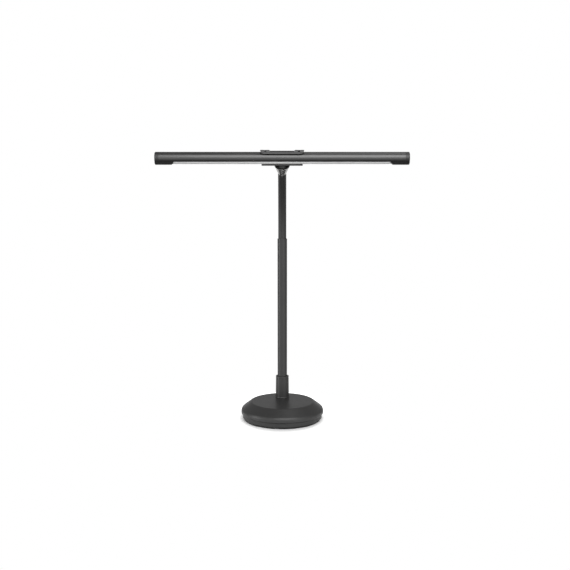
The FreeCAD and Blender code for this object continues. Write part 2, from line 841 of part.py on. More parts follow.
def pole_parts():
    stud = turned(
        "stud_solid",
        [
            (lamp.stud_bore_radius, lamp.stud_low),
            (lamp.stud_radius, lamp.stud_low),
            (lamp.stud_radius, lamp.base_height),
            (lamp.pole_bore, lamp.base_height),
            (lamp.pole_bore, lamp.base_height + lamp.stud_plug_height),
            (lamp.stud_bore_radius, lamp.base_height + lamp.stud_plug_height),
        ],
    )
    node(place(stud, y=lamp.pole_offset), "pole_stud")
    washer = turned(
        "washer_solid",
        [
            (lamp.stud_radius + lamp.slip_fit, lamp.washer_low),
            (lamp.washer_radius, lamp.washer_low),
            (lamp.washer_radius, lamp.web_low),
            (lamp.stud_radius + lamp.slip_fit, lamp.web_low),
        ],
    )
    node(place(washer, y=lamp.pole_offset), "pole_washer")
    hexagon = document.addObject("Part::Prism", "nut_hexagon")
    hexagon.Polygon = 6
    bind(hexagon, "Circumradius", lamp.nut_corner_radius)
    bind(hexagon, "Height", lamp.nut_height)
    place(hexagon, 0, 0, lamp.washer_low - lamp.nut_height)
    thread = cylinder("nut_thread", lamp.stud_radius, (0, 0, 0), lamp.base_height)
    node(place(cut("nut_solid", hexagon, thread), y=lamp.pole_offset), "pole_nut")
    tube = turned(
        "pole_tube",
        [
            (lamp.pole_bore, lamp.base_height),
            (lamp.pole_radius, lamp.base_height),
            (lamp.pole_radius, lamp.pole_top - lamp.pole_edge),
            (lamp.pole_radius - lamp.pole_edge, lamp.pole_top),
            (lamp.pole_bore, lamp.pole_top),
        ],
    )
    node(place(tube, y=lamp.pole_offset), "pole")


def collar():
    inner = lamp.pole_radius + lamp.slip_fit
    groove_high = lamp.collar_height - lamp.collar_groove_drop
    groove_low = groove_high - lamp.collar_groove_width
    ring = turned(
        "collar_ring",
        [
            (inner, 0),
            (lamp.collar_lip_radius, 0),
            (lamp.collar_lip_radius, lamp.collar_lip_height, lamp.collar_edge),
            (lamp.collar_foot_radius, lamp.collar_lip_height + lamp.collar_edge),
            (lamp.collar_radius, groove_low - lamp.collar_groove_depth),
            (lamp.collar_radius - lamp.collar_groove_depth, groove_low),
            (lamp.collar_radius - lamp.collar_groove_depth, groove_high),
            (lamp.collar_radius, groove_high + lamp.collar_groove_depth),
            (lamp.collar_radius, lamp.collar_height - lamp.collar_edge),
            (lamp.collar_radius - lamp.collar_edge, lamp.collar_height),
            (inner, lamp.collar_height),
        ],
    )
    node(place(ring, 0, lamp.pole_offset, lamp.base_height), "collar")


def supply_lead():
    """The two-core lead from the driver, under the nut, up the pole to the gooseneck."""
    turn_back = lamp.pole_offset + lamp.lead_turn
    turn_high = lamp.lead_height + lamp.lead_turn
    run = cylinder(
        "lead_run",
        lamp.lead_radius,
        (0, turn_back, lamp.lead_height),
        lamp.post_row - turn_back,
        "y",
    )
    bend = document.addObject("Part::Torus", "lead_bend")
    bend.Angle3 = 90
    bind(bend, "Radius1", lamp.lead_turn)
    bind(bend, "Radius2", lamp.lead_radius)
    quarter = Rotation(Vector(0, -1, 0), Vector(0, 0, -1), Vector(1, 0, 0), "ZXY")
    bend.Placement = Placement(Vector(), quarter)
    bind(bend, "Placement.Base.y", turn_back)
    bind(bend, "Placement.Base.z", turn_high)
    rise_top = lamp.first_hinge - lamp.foot_bore_top - lamp.clear_cut
    rise = cylinder(
        "lead_rise",
        lamp.lead_radius,
        (0, lamp.pole_offset, turn_high),
        rise_top - turn_high,
    )
    boot_low = lamp.plate_top + lamp.slip_fit
    boot = cylinder(
        "lead_boot",
        lamp.lead_boot_radius,
        (0, lamp.post_row, boot_low),
        lamp.driver_low - lamp.connector_height - boot_low,
    )
    node(fuse("supply_lead", run, bend, rise, boot), "supply_lead")


# ---------------------------------------------------------------- gooseneck


def hinge_spot(number):
    """Where hinge number (from 0) of the gooseneck stands: its y and z."""
    angle = lamp.link_turn * number
    y = lamp.pole_offset - lamp.bend_radius * (1 - cosine(angle))
    z = lamp.first_hinge + lamp.bend_radius * sine(angle)
    return y, z


def sleeve_piece(name, low, high):
    """A length of the sleeve. None stands for an end at a hinge, sloped to let it bend."""
    at_core = lamp.core_radius * lamp.end_rise
    at_skin = lamp.neck_radius * lamp.end_rise
    low_core, low_skin = (at_core, at_skin) if low is None else (low, low)
    high_core, high_skin = high, high
    if high is None:
        high_core, high_skin = lamp.link_length - at_core, lamp.link_length - at_skin
    return turned(
        name,
        [
            (lamp.core_radius, low_core),
            (lamp.neck_radius, low_skin),
            (lamp.neck_radius, high_skin),
            (lamp.core_radius, high_core),
        ],
    )


def socket_outline():
    """The lower end of a link, which takes the ball of the link below."""
    return [
        (0, -lamp.socket_drop),
        (lamp.socket_outer_radius, -lamp.socket_drop),
        (lamp.socket_outer_radius, lamp.socket_high),
        (lamp.core_radius, lamp.core_full_high),
    ]


def ball_outline(height):
    """The upper end of a link, up to the centre of its ball."""
    return [
        (lamp.core_radius, height - lamp.joint_neck_drop),
        (lamp.joint_neck_radius, height - lamp.joint_neck_drop),
        (lamp.joint_neck_radius, height),
        (0, height),
    ]


def wire_bore(name, low, high):
    return cylinder(name, lamp.wire_radius, (0, 0, low), as_size(high) - low)


def neck_foot():
    low = -lamp.foot_depth
    body = turned(
        "neck_foot_body",
        [
            (0, low),
            (lamp.pole_bore, low),
            (lamp.pole_bore, -lamp.foot_sleeve_depth),
            (lamp.core_radius, -lamp.foot_sleeve_depth),
            *ball_outline(as_size(0)),
        ],
    )
    ball = sphere("neck_foot_ball", lamp.joint_ball_radius, 0)
    lead_room = cylinder(
        "neck_foot_room",
        lamp.foot_bore_radius,
        (0, 0, low - lamp.clear_cut),
        lamp.foot_depth - lamp.foot_bore_top + lamp.clear_cut,
    )
    bore = wire_bore("neck_foot_bore", low, lamp.joint_ball_radius + lamp.clear_cut)
    fitting = cut("neck_foot_fitting", fuse("neck_foot_solid", body, ball), lead_room, bore)
    node(place(fitting, 0, lamp.pole_offset, lamp.first_hinge), "neck_foot")
    at_core = -lamp.core_radius * lamp.end_rise
    at_skin = -lamp.neck_radius * lamp.end_rise
    sleeve = turned(
        "neck_sleeve_foot_body",
        [
            (lamp.core_radius, -lamp.foot_sleeve_depth),
            (lamp.neck_radius, -lamp.foot_sleeve_depth),
            (lamp.neck_radius, at_skin),
            (lamp.core_radius, at_core),
        ],
    )
    node(place(sleeve, 0, lamp.pole_offset, lamp.first_hinge), "neck_sleeve_foot")


def neck_link(number):
    y, z = hinge_spot(number - 1)
    lean = lamp.link_turn * (number - 0.5)
    name = f"neck_link_{number}"
    body = turned(f"{name}_body", [*socket_outline(), *ball_outline(lamp.link_length)])
    ball = sphere(f"{name}_ball", lamp.joint_ball_radius, lamp.link_length)
    cavity = sphere(f"{name}_socket", lamp.joint_ball_radius + lamp.joint_fit, 0)
    bore_high = lamp.link_length + lamp.joint_ball_radius + lamp.clear_cut
    bore = wire_bore(f"{name}_bore", -lamp.socket_drop, bore_high)
    link = cut(f"{name}_solid", fuse(f"{name}_blank", body, ball), cavity, bore)
    node(place(link, 0, y, z, lean), name)
    sleeve = sleeve_piece(f"neck_sleeve_{number}_body", None, None)
    node(place(sleeve, 0, y, z, lean), f"neck_sleeve_{number}")


def neck_tip():
    body = turned(
        "neck_tip_body",
        [
            *socket_outline(),
            (lamp.core_radius, lamp.tip_stub),
            (lamp.thread_radius, lamp.tip_stub),
            (lamp.thread_radius, lamp.thread_high),
            (0, lamp.thread_high),
        ],
    )
    cavity = sphere("neck_tip_socket", lamp.joint_ball_radius + lamp.joint_fit, 0)
    bore = wire_bore("neck_tip_bore", -lamp.socket_drop, lamp.thread_high + lamp.clear_cut)
    node(in_cup_frame(cut("neck_tip_solid", body, cavity, bore)), "neck_tip")
    sleeve = sleeve_piece("neck_sleeve_tip_body", None, lamp.tip_stub)
    node(in_cup_frame(sleeve), "neck_sleeve_tip")


# ---------------------------------------------------------------- swivel


def cup_inside(height):
    """The cup's inner radius at a height, down its straight cone."""
    rise = lamp.cup_rim_high - lamp.cup_floor_high
    spread = lamp.cup_rim_radius - lamp.cup_lip - lamp.cup_floor_radius
    return lamp.cup_floor_radius + (height - lamp.cup_floor_high) * spread / rise


def swivel():
    cup = turned(
        "cup_solid",
        [
            (lamp.thread_radius, lamp.tip_stub),
            (lamp.cup_foot_radius, lamp.tip_stub),
            (lamp.cup_foot_radius, lamp.cup_foot_high),
            (lamp.cup_waist_radius, lamp.cup_waist_low),
            (lamp.cup_waist_radius, lamp.cup_waist_high),
            (lamp.cup_shoulder_radius, lamp.cup_shoulder_high),
            (lamp.cup_rim_radius, lamp.cup_rim_high),
            (lamp.cup_rim_radius - lamp.cup_lip, lamp.cup_rim_high),
            (lamp.cup_floor_radius, lamp.cup_floor_high),
            (lamp.thread_radius, lamp.cup_floor_high),
        ],
    )
    node(in_cup_frame(cup), "swivel_cup")
    cone = turned(
        "seat_cone",
        [
            (0, lamp.seat_low),
            (cup_inside(lamp.seat_low) - lamp.seat_fit, lamp.seat_low),
            (cup_inside(lamp.seat_high) - lamp.seat_fit, lamp.seat_high),
            (0, lamp.seat_high),
        ],
    )
    hollow = sphere("seat_hollow", lamp.ball_radius + lamp.joint_fit, lamp.ball_centre)
    bore = cylinder("seat_bore", lamp.seat_bore_radius, (0, 0, 0), lamp.ball_centre)
    node(in_cup_frame(cut("seat_solid", cone, hollow, bore)), "ball_seat")
    flat_high = lamp.ball_centre + lamp.ball_flat
    ball = sphere("stud_ball", lamp.ball_radius, lamp.ball_centre)
    top = box(
        "stud_top",
        (-lamp.ball_radius, -lamp.ball_radius, flat_high),
        (lamp.ball_radius, lamp.ball_radius, flat_high + lamp.ball_radius),
    )
    shank = cylinder(
        "stud_shank",
        lamp.ball_shank_radius,
        (0, 0, lamp.ball_centre),
        lamp.ball_flat + lamp.ball_shank_length,
    )
    hole = cylinder("stud_wire_hole", lamp.wire_radius, (0, 0, 0), lamp.bar_from_hinge)
    stud = fuse("stud_blank", cut("stud_ball_cut", ball, top), shank)
    node(in_cup_frame(cut("ball_stud_solid", stud, hole)), "ball_stud")


# ---------------------------------------------------------------- saddle


def saddle_screw_hole(name, radius, low, high):
    return [
        cylinder(
            f"{name}_{number}",
            radius,
            (side * lamp.saddle_screw_side, lamp.saddle_screw_back, low),
            as_size(high) - low,
        )
        for number, side in enumerate((-1, 1), start=1)
    ]


def head_bracket():
    lean = lamp.neck_lean
    underside = (lamp.saddle_skin - lamp.shelf_low * cosine(lean)) / sine(lean)
    rear_low = (lamp.saddle_back * sine(lean) - lamp.saddle_skin) / cosine(lean)
    block = padded(
        "bracket_block",
        "YZ_Plane",
        [
            (-lamp.shelf_reach, -lamp.shelf_low),
            (underside, -lamp.shelf_low),
            (lamp.saddle_back, rear_low),
            (lamp.saddle_back, lamp.saddle_split),
            (0, lamp.saddle_split),
            (0, -lamp.window_drop),
            (-lamp.shelf_reach, -lamp.window_drop),
        ],
        lamp.bracket_half_length * 2,
    )
    place(block, -lamp.bracket_half_length)
    length = lamp.bracket_half_length * 2 + 2 * lamp.clear_cut
    start = -lamp.bracket_half_length - lamp.clear_cut
    bore = cylinder("bracket_bore", lamp.saddle_bore, (start, 0, 0), length, "x")
    bay = box(
        "bracket_bay",
        (-lamp.bay_half_length, lamp.bay_near, lamp.board_low),
        (lamp.bay_half_length, lamp.bay_far, lamp.saddle_split + lamp.clear_cut),
    )
    screw_holes = saddle_screw_hole(
        "bracket_screw_hole",
        lamp.saddle_screw_radius + lamp.slip_fit,
        -lamp.shelf_low,
        lamp.saddle_split,
    )
    sinks = saddle_screw_hole(
        "bracket_screw_sink",
        lamp.saddle_screw_head_radius + lamp.slip_fit,
        -lamp.shelf_low,
        -lamp.saddle_screw_seat,
    )
    shank_hole = document.addObject("Part::Cylinder", "bracket_shank_hole")
    bind(shank_hole, "Radius", lamp.ball_shank_radius)
    bind(shank_hole, "Height", lamp.saddle_skin)
    place(shank_hole, 0, lamp.saddle_skin * sine(lean), -lamp.saddle_skin * cosine(lean), lean)
    wire_hole = cylinder(
        "bracket_wire_hole",
        lamp.wire_radius,
        (0, 0, lamp.board_top + lamp.wire_radius),
        lamp.bay_far,
        "y",
    )
    channel_round = cylinder(
        "bracket_channel_round",
        lamp.saddle_skin - lamp.channel_skin,
        (-lamp.channel_half_width, 0, 0),
        lamp.channel_half_width * 2,
        "x",
    )
    channel_side = box(
        "bracket_channel_side",
        (-lamp.bar_radius, lamp.saddle_skin * sine(lean) - lamp.ball_shank_radius, -lamp.saddle_skin),
        (lamp.bar_radius, lamp.saddle_skin, lamp.saddle_split),
    )
    channel = common("bracket_channel", channel_round, channel_side)
    tools = [bore, bay, shank_hole, wire_hole, channel, *screw_holes, *sinks]
    node(in_bar_frame(cut("bracket_solid", block, *tools)), "head_bracket")


def control_cover():
    block = padded(
        "cover_block",
        "YZ_Plane",
        [
            (-lamp.cover_front, lamp.cover_lip_low),
            (-lamp.cover_front, lamp.cover_top - lamp.cover_bevel),
            (lamp.cover_bevel - lamp.cover_front, lamp.cover_top),
            (lamp.saddle_back - lamp.cover_bevel, lamp.cover_top),
            (lamp.saddle_back, lamp.cover_top - lamp.cover_bevel),
            (lamp.saddle_back, lamp.saddle_split),
            (0, lamp.saddle_split),
            (0, lamp.cover_lip_low),
        ],
        lamp.cover_half_length * 2,
    )
    place(block, -lamp.cover_half_length)
    length = lamp.cover_half_length * 2 + 2 * lamp.clear_cut
    start = -lamp.cover_half_length - lamp.clear_cut
    bore = cylinder("cover_bore", lamp.saddle_bore, (start, 0, 0), length, "x")
    bay = box(
        "cover_bay",
        (-lamp.bay_half_length, lamp.bay_near, 0),
        (lamp.bay_half_length, lamp.bay_far, lamp.bay_high),
    )
    tools = [bore, bay]
    for side, word in ((-1, "left"), (1, "right")):
        inner = side * (lamp.cap_inner - lamp.cap_edge)
        outer = side * (lamp.cover_half_length + lamp.clear_cut)
        low_x, high_x = (outer, inner) if side < 0 else (inner, outer)
        step = box(
            f"cover_step_{word}",
            (low_x, -lamp.cover_front - lamp.clear_cut, lamp.cap_seat),
            (high_x, lamp.saddle_back + lamp.clear_cut, lamp.cap_top),
        )
        stem_hole = cylinder(
            f"cover_stem_hole_{word}",
            lamp.stem_radius + lamp.stem_fit,
            (side * lamp.button_x, lamp.saddle_screw_back, 0),
            lamp.cap_top,
        )
        corner = padded(
            f"cover_corner_{word}",
            "XZ_Plane",
            [
                (outer, lamp.cover_lip_low + lamp.cover_corner_rise),
                (outer, lamp.cover_lip_low),
                (side * (lamp.cover_half_length - lamp.cover_corner_run), lamp.cover_lip_low),
            ],
            lamp.cover_front + lamp.clear_cut,
        )
        tools += [step, stem_hole, corner]
    shell = cut("cover_hollowed", block, *tools)
    boss_high = lamp.cover_top - 1
    bosses = saddle_screw_hole("cover_screw_boss", lamp.saddle_boss_radius, lamp.board_top, boss_high)
    pilots = saddle_screw_hole(
        "cover_screw_pilot",
        lamp.saddle_screw_radius,
        lamp.board_top - lamp.clear_cut,
        lamp.saddle_screw_reach + lamp.slip_fit,
    )
    solid = fuse("cover_with_bosses", shell, *bosses)
    node(in_bar_frame(cut("control_cover_solid", solid, *pilots)), "control_cover")


def control_board():
    board = box(
        "control_board_blank",
        (-lamp.bay_half_length + lamp.board_fit, lamp.bay_near + lamp.board_fit, lamp.board_low),
        (lamp.bay_half_length - lamp.board_fit, lamp.bay_far - lamp.board_fit, lamp.board_top),
    )
    holes = saddle_screw_hole("board_hole", lamp.saddle_screw_radius + lamp.slip_fit, 0, lamp.bay_high)
    node(in_bar_frame(cut("control_board_solid", board, *holes)), "control_board")
    seat = -lamp.saddle_screw_seat
    heads = saddle_screw_hole(
        "saddle_screw_head",
        lamp.saddle_screw_head_radius,
        seat - lamp.saddle_screw_head_height,
        seat,
    )
    shanks = saddle_screw_hole("saddle_screw_shank", lamp.saddle_screw_radius, seat, lamp.saddle_screw_reach)
    screws = [
        fuse(f"saddle_screw_{number}", head, shank)
        for number, (head, shank) in enumerate(zip(heads, shanks), start=1)
    ]
    node(in_bar_frame(group("saddle_screw_pair", screws)), "saddle_screws")


def button(side, word):
    x = side * lamp.button_x
    cap = padded(
        f"cap_{word}",
        "XZ_Plane",
        [
            (side * lamp.cap_inner, lamp.cap_low),
            (side * lamp.cap_outer, lamp.cap_low),
            (side * lamp.cap_outer, lamp.cap_top - lamp.cap_edge),
            (side * (lamp.cap_outer - lamp.cap_edge), lamp.cap_top),
            (side * (lamp.cap_inner + lamp.cap_slope), lamp.cap_top),
            (side * lamp.cap_inner, lamp.cap_seat + 3 * lamp.cap_gap),
        ],
        lamp.cap_front + lamp.cap_back,
    )
    place(cap, 0, lamp.cap_back)
    dish = cylinder(
        f"dish_{word}",
        lamp.dish_radius,
        (x, -lamp.cover_front - lamp.clear_cut, lamp.cap_top + lamp.dish_radius - lamp.dish_depth),
        lamp.cap_front + lamp.cap_back + 2 * lamp.clear_cut,
        "y",
    )
    stem = cylinder(
        f"stem_{word}",
        lamp.stem_radius,
        (x, lamp.saddle_screw_back, lamp.stem_low),
        lamp.cap_low - lamp.stem_low + lamp.cap_gap,
    )
    solid = fuse(f"button_{word}_solid", cut(f"button_{word}_dished", cap, dish), stem)
    node(in_bar_frame(solid), f"button_{word}")
    half_length = lamp.switch_length / 2
    half_width = lamp.switch_width / 2
    block = box(
        f"switch_block_{word}",
        (x - half_length, lamp.saddle_screw_back - half_width, lamp.board_top),
        (x + half_length, lamp.saddle_screw_back + half_width, lamp.board_top + lamp.switch_height),
    )
    well_low = lamp.plunger_low - lamp.cap_gap
    well = cylinder(
        f"switch_well_{word}",
        lamp.plunger_radius + lamp.joint_fit,
        (x, lamp.saddle_screw_back, well_low),
        lamp.switch_height,
    )
    node(in_bar_frame(cut(f"switch_solid_{word}", block, well)), f"switch_{word}")
    plunger = cylinder(
        f"plunger_solid_{word}",
        lamp.plunger_radius,
        (x, lamp.saddle_screw_back, lamp.plunger_low),
        lamp.stem_low - lamp.plunger_low,
    )
    node(in_bar_frame(group(f"plunger_{word}_piece", [plunger])), f"plunger_{word}")


# ---------------------------------------------------------------- light bar


def bar_housing():
    length = lamp.housing_half_length * 2
    skin = cylinder("housing_skin", lamp.bar_radius, (-lamp.housing_half_length, 0, 0), length, "x")
    room = cylinder("housing_room", lamp.bar_bore, (-lamp.housing_half_length, 0, 0), length, "x")
    window = box(
        "housing_window",
        (-lamp.bar_half_length, -lamp.bar_radius, -2 * lamp.bar_radius),
        (lamp.bar_half_length, lamp.bar_radius, -lamp.window_drop),
    )
    shell = cut("housing_shell", skin, room, window)
    web = box(
        "housing_web_blank",
        (-lamp.housing_half_length, -lamp.bar_radius, lamp.web_lift),
        (lamp.housing_half_length, lamp.bar_radius, lamp.web_lift + lamp.web_thickness),
    )
    core = cylinder("housing_core", lamp.bar_radius, (-lamp.housing_half_length, 0, 0), length, "x")
    slot = box(
        "housing_lead_slot",
        (-lamp.lead_slot_half_width, lamp.lead_slot_near, -lamp.lead_slot_low),
        (lamp.lead_slot_half_width, 2 * lamp.bar_radius, lamp.lead_slot_high),
    )
    solid = fuse("housing_solid", shell, common("housing_web", web, core))
    node(in_bar_frame(cut("housing_slotted", solid, slot)), "bar_housing")


def slanted_outline(start, inner_high, outer_low):
    """One end of the window, seen from the front: it slants outwards as it goes down."""
    drop = outer_low - lamp.window_drop
    return [
        (start, -inner_high),
        (start, -lamp.window_drop),
        (start + drop * lamp.tongue_slant / (lamp.tongue_low - lamp.window_drop), -outer_low),
    ]


def diffuser():
    end = lamp.tongue_start - lamp.diffuser_gap
    leg_high = lamp.window_drop - lamp.leg_rise
    right = slanted_outline(end, leg_high, lamp.tongue_low)
    left = [(-x, z) for x, z in reversed(right)]
    slab = padded("diffuser_slab", "XZ_Plane", right + left, lamp.bar_radius * 2)
    place(slab, 0, lamp.bar_radius)
    skin_start = (-lamp.bar_half_length, 0, 0)
    length = lamp.bar_half_length * 2
    skin = cylinder("diffuser_skin", lamp.bar_radius, skin_start, length, "x")
    room = cylinder("diffuser_room", lamp.bar_radius - lamp.diffuser_wall, skin_start, length, "x")
    above = box(
        "diffuser_above",
        (-lamp.bar_half_length, -lamp.bar_radius, -lamp.window_drop),
        (lamp.bar_half_length, lamp.bar_radius, lamp.bar_radius),
    )
    pane = cut("diffuser_pane", skin, room, above)
    inner_leg = lamp.leg_outer - lamp.leg_thickness
    legs = [
        box(
            f"diffuser_leg_{word}",
            (-lamp.bar_half_length, low, -lamp.window_drop - lamp.leg_thickness),
            (lamp.bar_half_length, high, -leg_high),
        )
        for word, low, high in (
            ("front", -lamp.leg_outer, -inner_leg),
            ("back", inner_leg, lamp.leg_outer),
        )
    ]
    strip = common("diffuser_strip", fuse("diffuser_section", pane, *legs), slab)
    node(in_bar_frame(group("diffuser_piece", [strip])), "diffuser")


def end_cap(word, turn):
    """One cap, built for the right end. The left one is the same piece turned about Z."""
    disc = turned(
        f"cap_disc_{word}",
        [
            (0, 0),
            (lamp.bar_radius, 0),
            (lamp.bar_radius, lamp.end_length, lamp.end_round),
            (0, lamp.end_length),
        ],
    )
    chin = turned(
        f"cap_chin_disc_{word}",
        [
            (0, 0),
            (lamp.bar_radius, 0),
            (lamp.bar_radius, lamp.end_length, lamp.end_round),
            (0, lamp.end_length),
        ],
    )
    for piece, height in ((disc, 0), (chin, -lamp.tongue_drop)):
        piece.Placement = Placement(Vector(), Rotation(Vector(0, 1, 0), 90))
        bind(piece, "Placement.Base.x", lamp.housing_half_length)
        bind(piece, "Placement.Base.z", height)
    below = box(
        f"cap_below_{word}",
        (0, -2 * lamp.bar_radius, -2 * lamp.bar_radius),
        (lamp.bar_half_length, 2 * lamp.bar_radius, -lamp.window_drop),
    )
    chin_low = common(f"cap_chin_{word}", chin, below)
    start = lamp.tongue_start
    bar = cylinder(
        f"tongue_round_{word}",
        lamp.bar_radius,
        (start, 0, -lamp.tongue_drop),
        lamp.housing_half_length - start,
        "x",
    )
    inner = slanted_outline(start, lamp.window_drop, lamp.tongue_low)[1:]
    outer = [(lamp.housing_half_length, -lamp.tongue_low), (lamp.housing_half_length, -lamp.window_drop)]
    wedge = padded(f"tongue_wedge_{word}", "XZ_Plane", inner + outer, lamp.bar_radius * 2)
    place(wedge, 0, lamp.bar_radius)
    tongue = common(f"tongue_{word}", bar, wedge)
    plug = cylinder(
        f"plug_round_{word}",
        lamp.bar_bore - lamp.plug_fit,
        (lamp.housing_half_length - lamp.plug_length, 0, 0),
        lamp.plug_length,
        "x",
    )
    slot = box(
        f"plug_slot_{word}",
        (0, -lamp.bar_radius, lamp.led_board_low - lamp.plug_slot_room),
        (lamp.housing_half_length, lamp.bar_radius, lamp.web_lift + lamp.web_thickness + lamp.plug_fit),
    )
    under = box(
        f"plug_under_{word}",
        (0, -lamp.bar_radius, -2 * lamp.bar_radius),
        (lamp.housing_half_length, lamp.bar_radius, -lamp.window_drop),
    )
    plug_piece = cut(f"plug_{word}", plug, slot, under)
    cap = fuse(f"cap_solid_{word}", disc, chin_low, tongue, plug_piece)
    holder = group(f"cap_piece_{word}", [cap])
    holder.Placement = Placement(Vector(), Rotation(Vector(0, 0, 1), turn))
    bind(holder, "Placement.Base.y", lamp.bar_y)
    bind(holder, "Placement.Base.z", lamp.bar_z)
    node(holder, f"end_cap_{word}")


def led_strip():
    board = box(
        "led_board_blank",
        (-lamp.led_board_half_length, -lamp.led_board_half_width, lamp.led_board_low),
        (lamp.led_board_half_length, lamp.led_board_half_width, lamp.web_lift),
    )
    node(in_bar_frame(group("led_board_piece", [board])), "led_board")
    chips = []
    for number in range(LED_COUNT):
        x = lamp.led_pitch * (number - (LED_COUNT - 1) / 2)
        chip = box(
            f"led_{number + 1}",
            (x - lamp.led_length / 2, -lamp.led_width / 2, lamp.led_board_low - lamp.led_height),
            (x + lamp.led_length / 2, lamp.led_width / 2, lamp.led_board_low),
        )
        chips.append(chip)
    node(in_bar_frame(group("led_row", chips)), "leds")


def build():
    foot_ring()
    base_plate()
    base_cover()
    ballast()
    base_screws()
    dc_jack()
    driver()
    pole_parts()
    collar()
    supply_lead()
    neck_foot()
    for number in range(1, LINKS + 1):
        neck_link(number)
    neck_tip()
    swivel()
    head_bracket()
    control_cover()
    control_board()
    for side, word in ((-1, "left"), (1, "right")):
        button(side, word)
    bar_housing()
    diffuser()
    end_cap("left", 180)
    end_cap("right", 0)
    led_strip()


def check():
    """Stops before anything is written if a feature failed or a piece is no good solid."""
    for item in document.Objects:
        if "Invalid" in item.State or "Error" in item.State:
            raise RuntimeError(f"{item.Label} failed: {item.State}")
    for name, item in nodes.items():
        shape = item.Shape
        if shape.isNull() or not shape.isValid() or not shape.Solids:
            raise RuntimeError(f"{name} has no valid solid")


def write():
    os.makedirs("parts", exist_ok=True)
    for name, item in nodes.items():
        item.Shape.exportStep(os.path.join("parts", f"{name}.step"))
        print(name, len(item.Shape.Solids), round(item.Shape.Volume, 1))


build()
document.recompute()
check()
write()
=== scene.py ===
# %% [markdown]
# # A piano lamp, dressed for the camera
#
# The lamp was built as an assembly first, and its solids are loaded here as a fixed frame. This script
# makes the surfaces that are seen: each one takes the place of a plain solid and stays within the same
# sizes, and each moves with the same body, except the gooseneck's sleeve, which rides on no body. The
# lamp stands at the origin with its long light bar along X, and the viewer is in front, at -Y.

# %% Load the frame
import json
import math

import bmesh
import bpy
from mathutils import Matrix, Vector

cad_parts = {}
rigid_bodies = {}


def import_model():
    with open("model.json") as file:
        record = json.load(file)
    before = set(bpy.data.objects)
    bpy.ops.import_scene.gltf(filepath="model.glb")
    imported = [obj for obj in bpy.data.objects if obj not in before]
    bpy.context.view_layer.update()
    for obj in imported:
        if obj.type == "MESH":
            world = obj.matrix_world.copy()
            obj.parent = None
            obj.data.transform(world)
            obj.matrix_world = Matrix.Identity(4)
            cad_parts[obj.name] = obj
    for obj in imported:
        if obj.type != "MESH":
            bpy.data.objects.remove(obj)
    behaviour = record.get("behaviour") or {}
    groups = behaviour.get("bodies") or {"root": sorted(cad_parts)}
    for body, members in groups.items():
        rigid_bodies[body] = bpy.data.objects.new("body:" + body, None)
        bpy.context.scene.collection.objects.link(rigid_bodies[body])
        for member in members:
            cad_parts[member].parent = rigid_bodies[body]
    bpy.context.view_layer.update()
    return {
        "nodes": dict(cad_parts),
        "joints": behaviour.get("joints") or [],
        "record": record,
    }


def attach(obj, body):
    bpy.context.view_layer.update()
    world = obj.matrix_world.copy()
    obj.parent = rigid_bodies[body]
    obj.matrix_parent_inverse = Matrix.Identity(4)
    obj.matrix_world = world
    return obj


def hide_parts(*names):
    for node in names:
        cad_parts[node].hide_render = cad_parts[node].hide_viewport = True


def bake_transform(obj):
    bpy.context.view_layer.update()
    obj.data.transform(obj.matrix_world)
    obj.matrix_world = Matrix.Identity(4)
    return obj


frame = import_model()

scene = bpy.context.scene
joints = {joint["name"]: joint for joint in frame["joints"]}

# %% [markdown]
# ## Three places to build in
#
# The sizes of the pieces are in millimetres, because that is how such a lamp is drawn, and MM turns them
# into Blender's metres. The camera, the table, the lights and the finishes are in metres. Most pieces are
# built upright at the origin and then put in place by one of three transforms: over the pole, at the
# gooseneck's leaning end, or on the light bar's axis. The joints of the frame say where those are. Two
# points closer than TOUCHING, a thousandth of a millimetre, count as one.

# %% Places
MM = 0.001
TOUCHING = 1e-6
neck_joints = [joint for joint in frame["joints"] if joint["name"].startswith("neck_")]
hinges = [Vector(joint["pos_m"]) for joint in neck_joints]
ball_centre = Vector(joints["head_tilt"]["pos_m"])
cup_axis = Vector(joints["head_swivel"]["axis"])
bar_centre = Vector(joints["bar_roll"]["pos_m"])
lean = math.atan2(-cup_axis.y, cup_axis.z)

at_base = Matrix.Identity(4)
at_pole = Matrix.Translation((0, hinges[0].y, 0))
at_cup = Matrix.Translation(hinges[-1]) @ Matrix.Rotation(lean, 4, "X")
at_bar = Matrix.Translation(bar_centre)
print("lean of the gooseneck's end:", round(math.degrees(lean), 1), "degrees; bar axis at", bar_centre[:])

# %% [markdown]
# ## The camera
#
# The lamp is seen from in front, from about the height of its light bar and looking slightly down, with
# the whole of it in view. A camera is a position, a direction and a focal length, so those are set
# directly.

# %% Camera
TILT_DOWN = 8.26
camera = bpy.data.objects.new("camera", bpy.data.cameras.new("camera"))
camera.data.sensor_width = 36
camera.data.lens = 60.44
camera.location = (0.0045, -1.55, 0.45)
camera.rotation_euler = (math.radians(90 - TILT_DOWN), 0, 0)
scene.collection.objects.link(camera)
scene.camera = camera
scene.view_settings.view_transform = "Standard"
print("camera", round(camera.data.lens, 2), "mm")

# %% [markdown]
# ## Shapes from a few operators
#
# Nearly every piece of this lamp is round about an axis or keeps one outline along its length. A turned
# piece is an outline spun about an axis, and an extruded one is an outline given length. Rods cut holes
# and bores. These few helpers make all three kinds. Only the ball and the gooseneck's sleeve start from
# something else.


# %% Turned pieces
def rounded(shape, edges, size, segments):
    bmesh.ops.bevel(
        shape,
        geom=edges,
        offset=size * MM,
        offset_type="OFFSET",
        segments=segments,
        profile=0.5,
        affect="EDGES",
        clamp_overlap=True,
        material=-1,
    )


def round_corner(shape, radius, height, size):
    """Rounds the ring of edges at one corner of a turned shape."""
    ring = [
        edge
        for edge in shape.edges
        if all(
            abs(math.hypot(vert.co.x, vert.co.y) - radius * MM) < TOUCHING
            and abs(vert.co.z - height * MM) < TOUCHING
            for vert in edge.verts
        )
    ]
    rounded(shape, ring, size, 5)


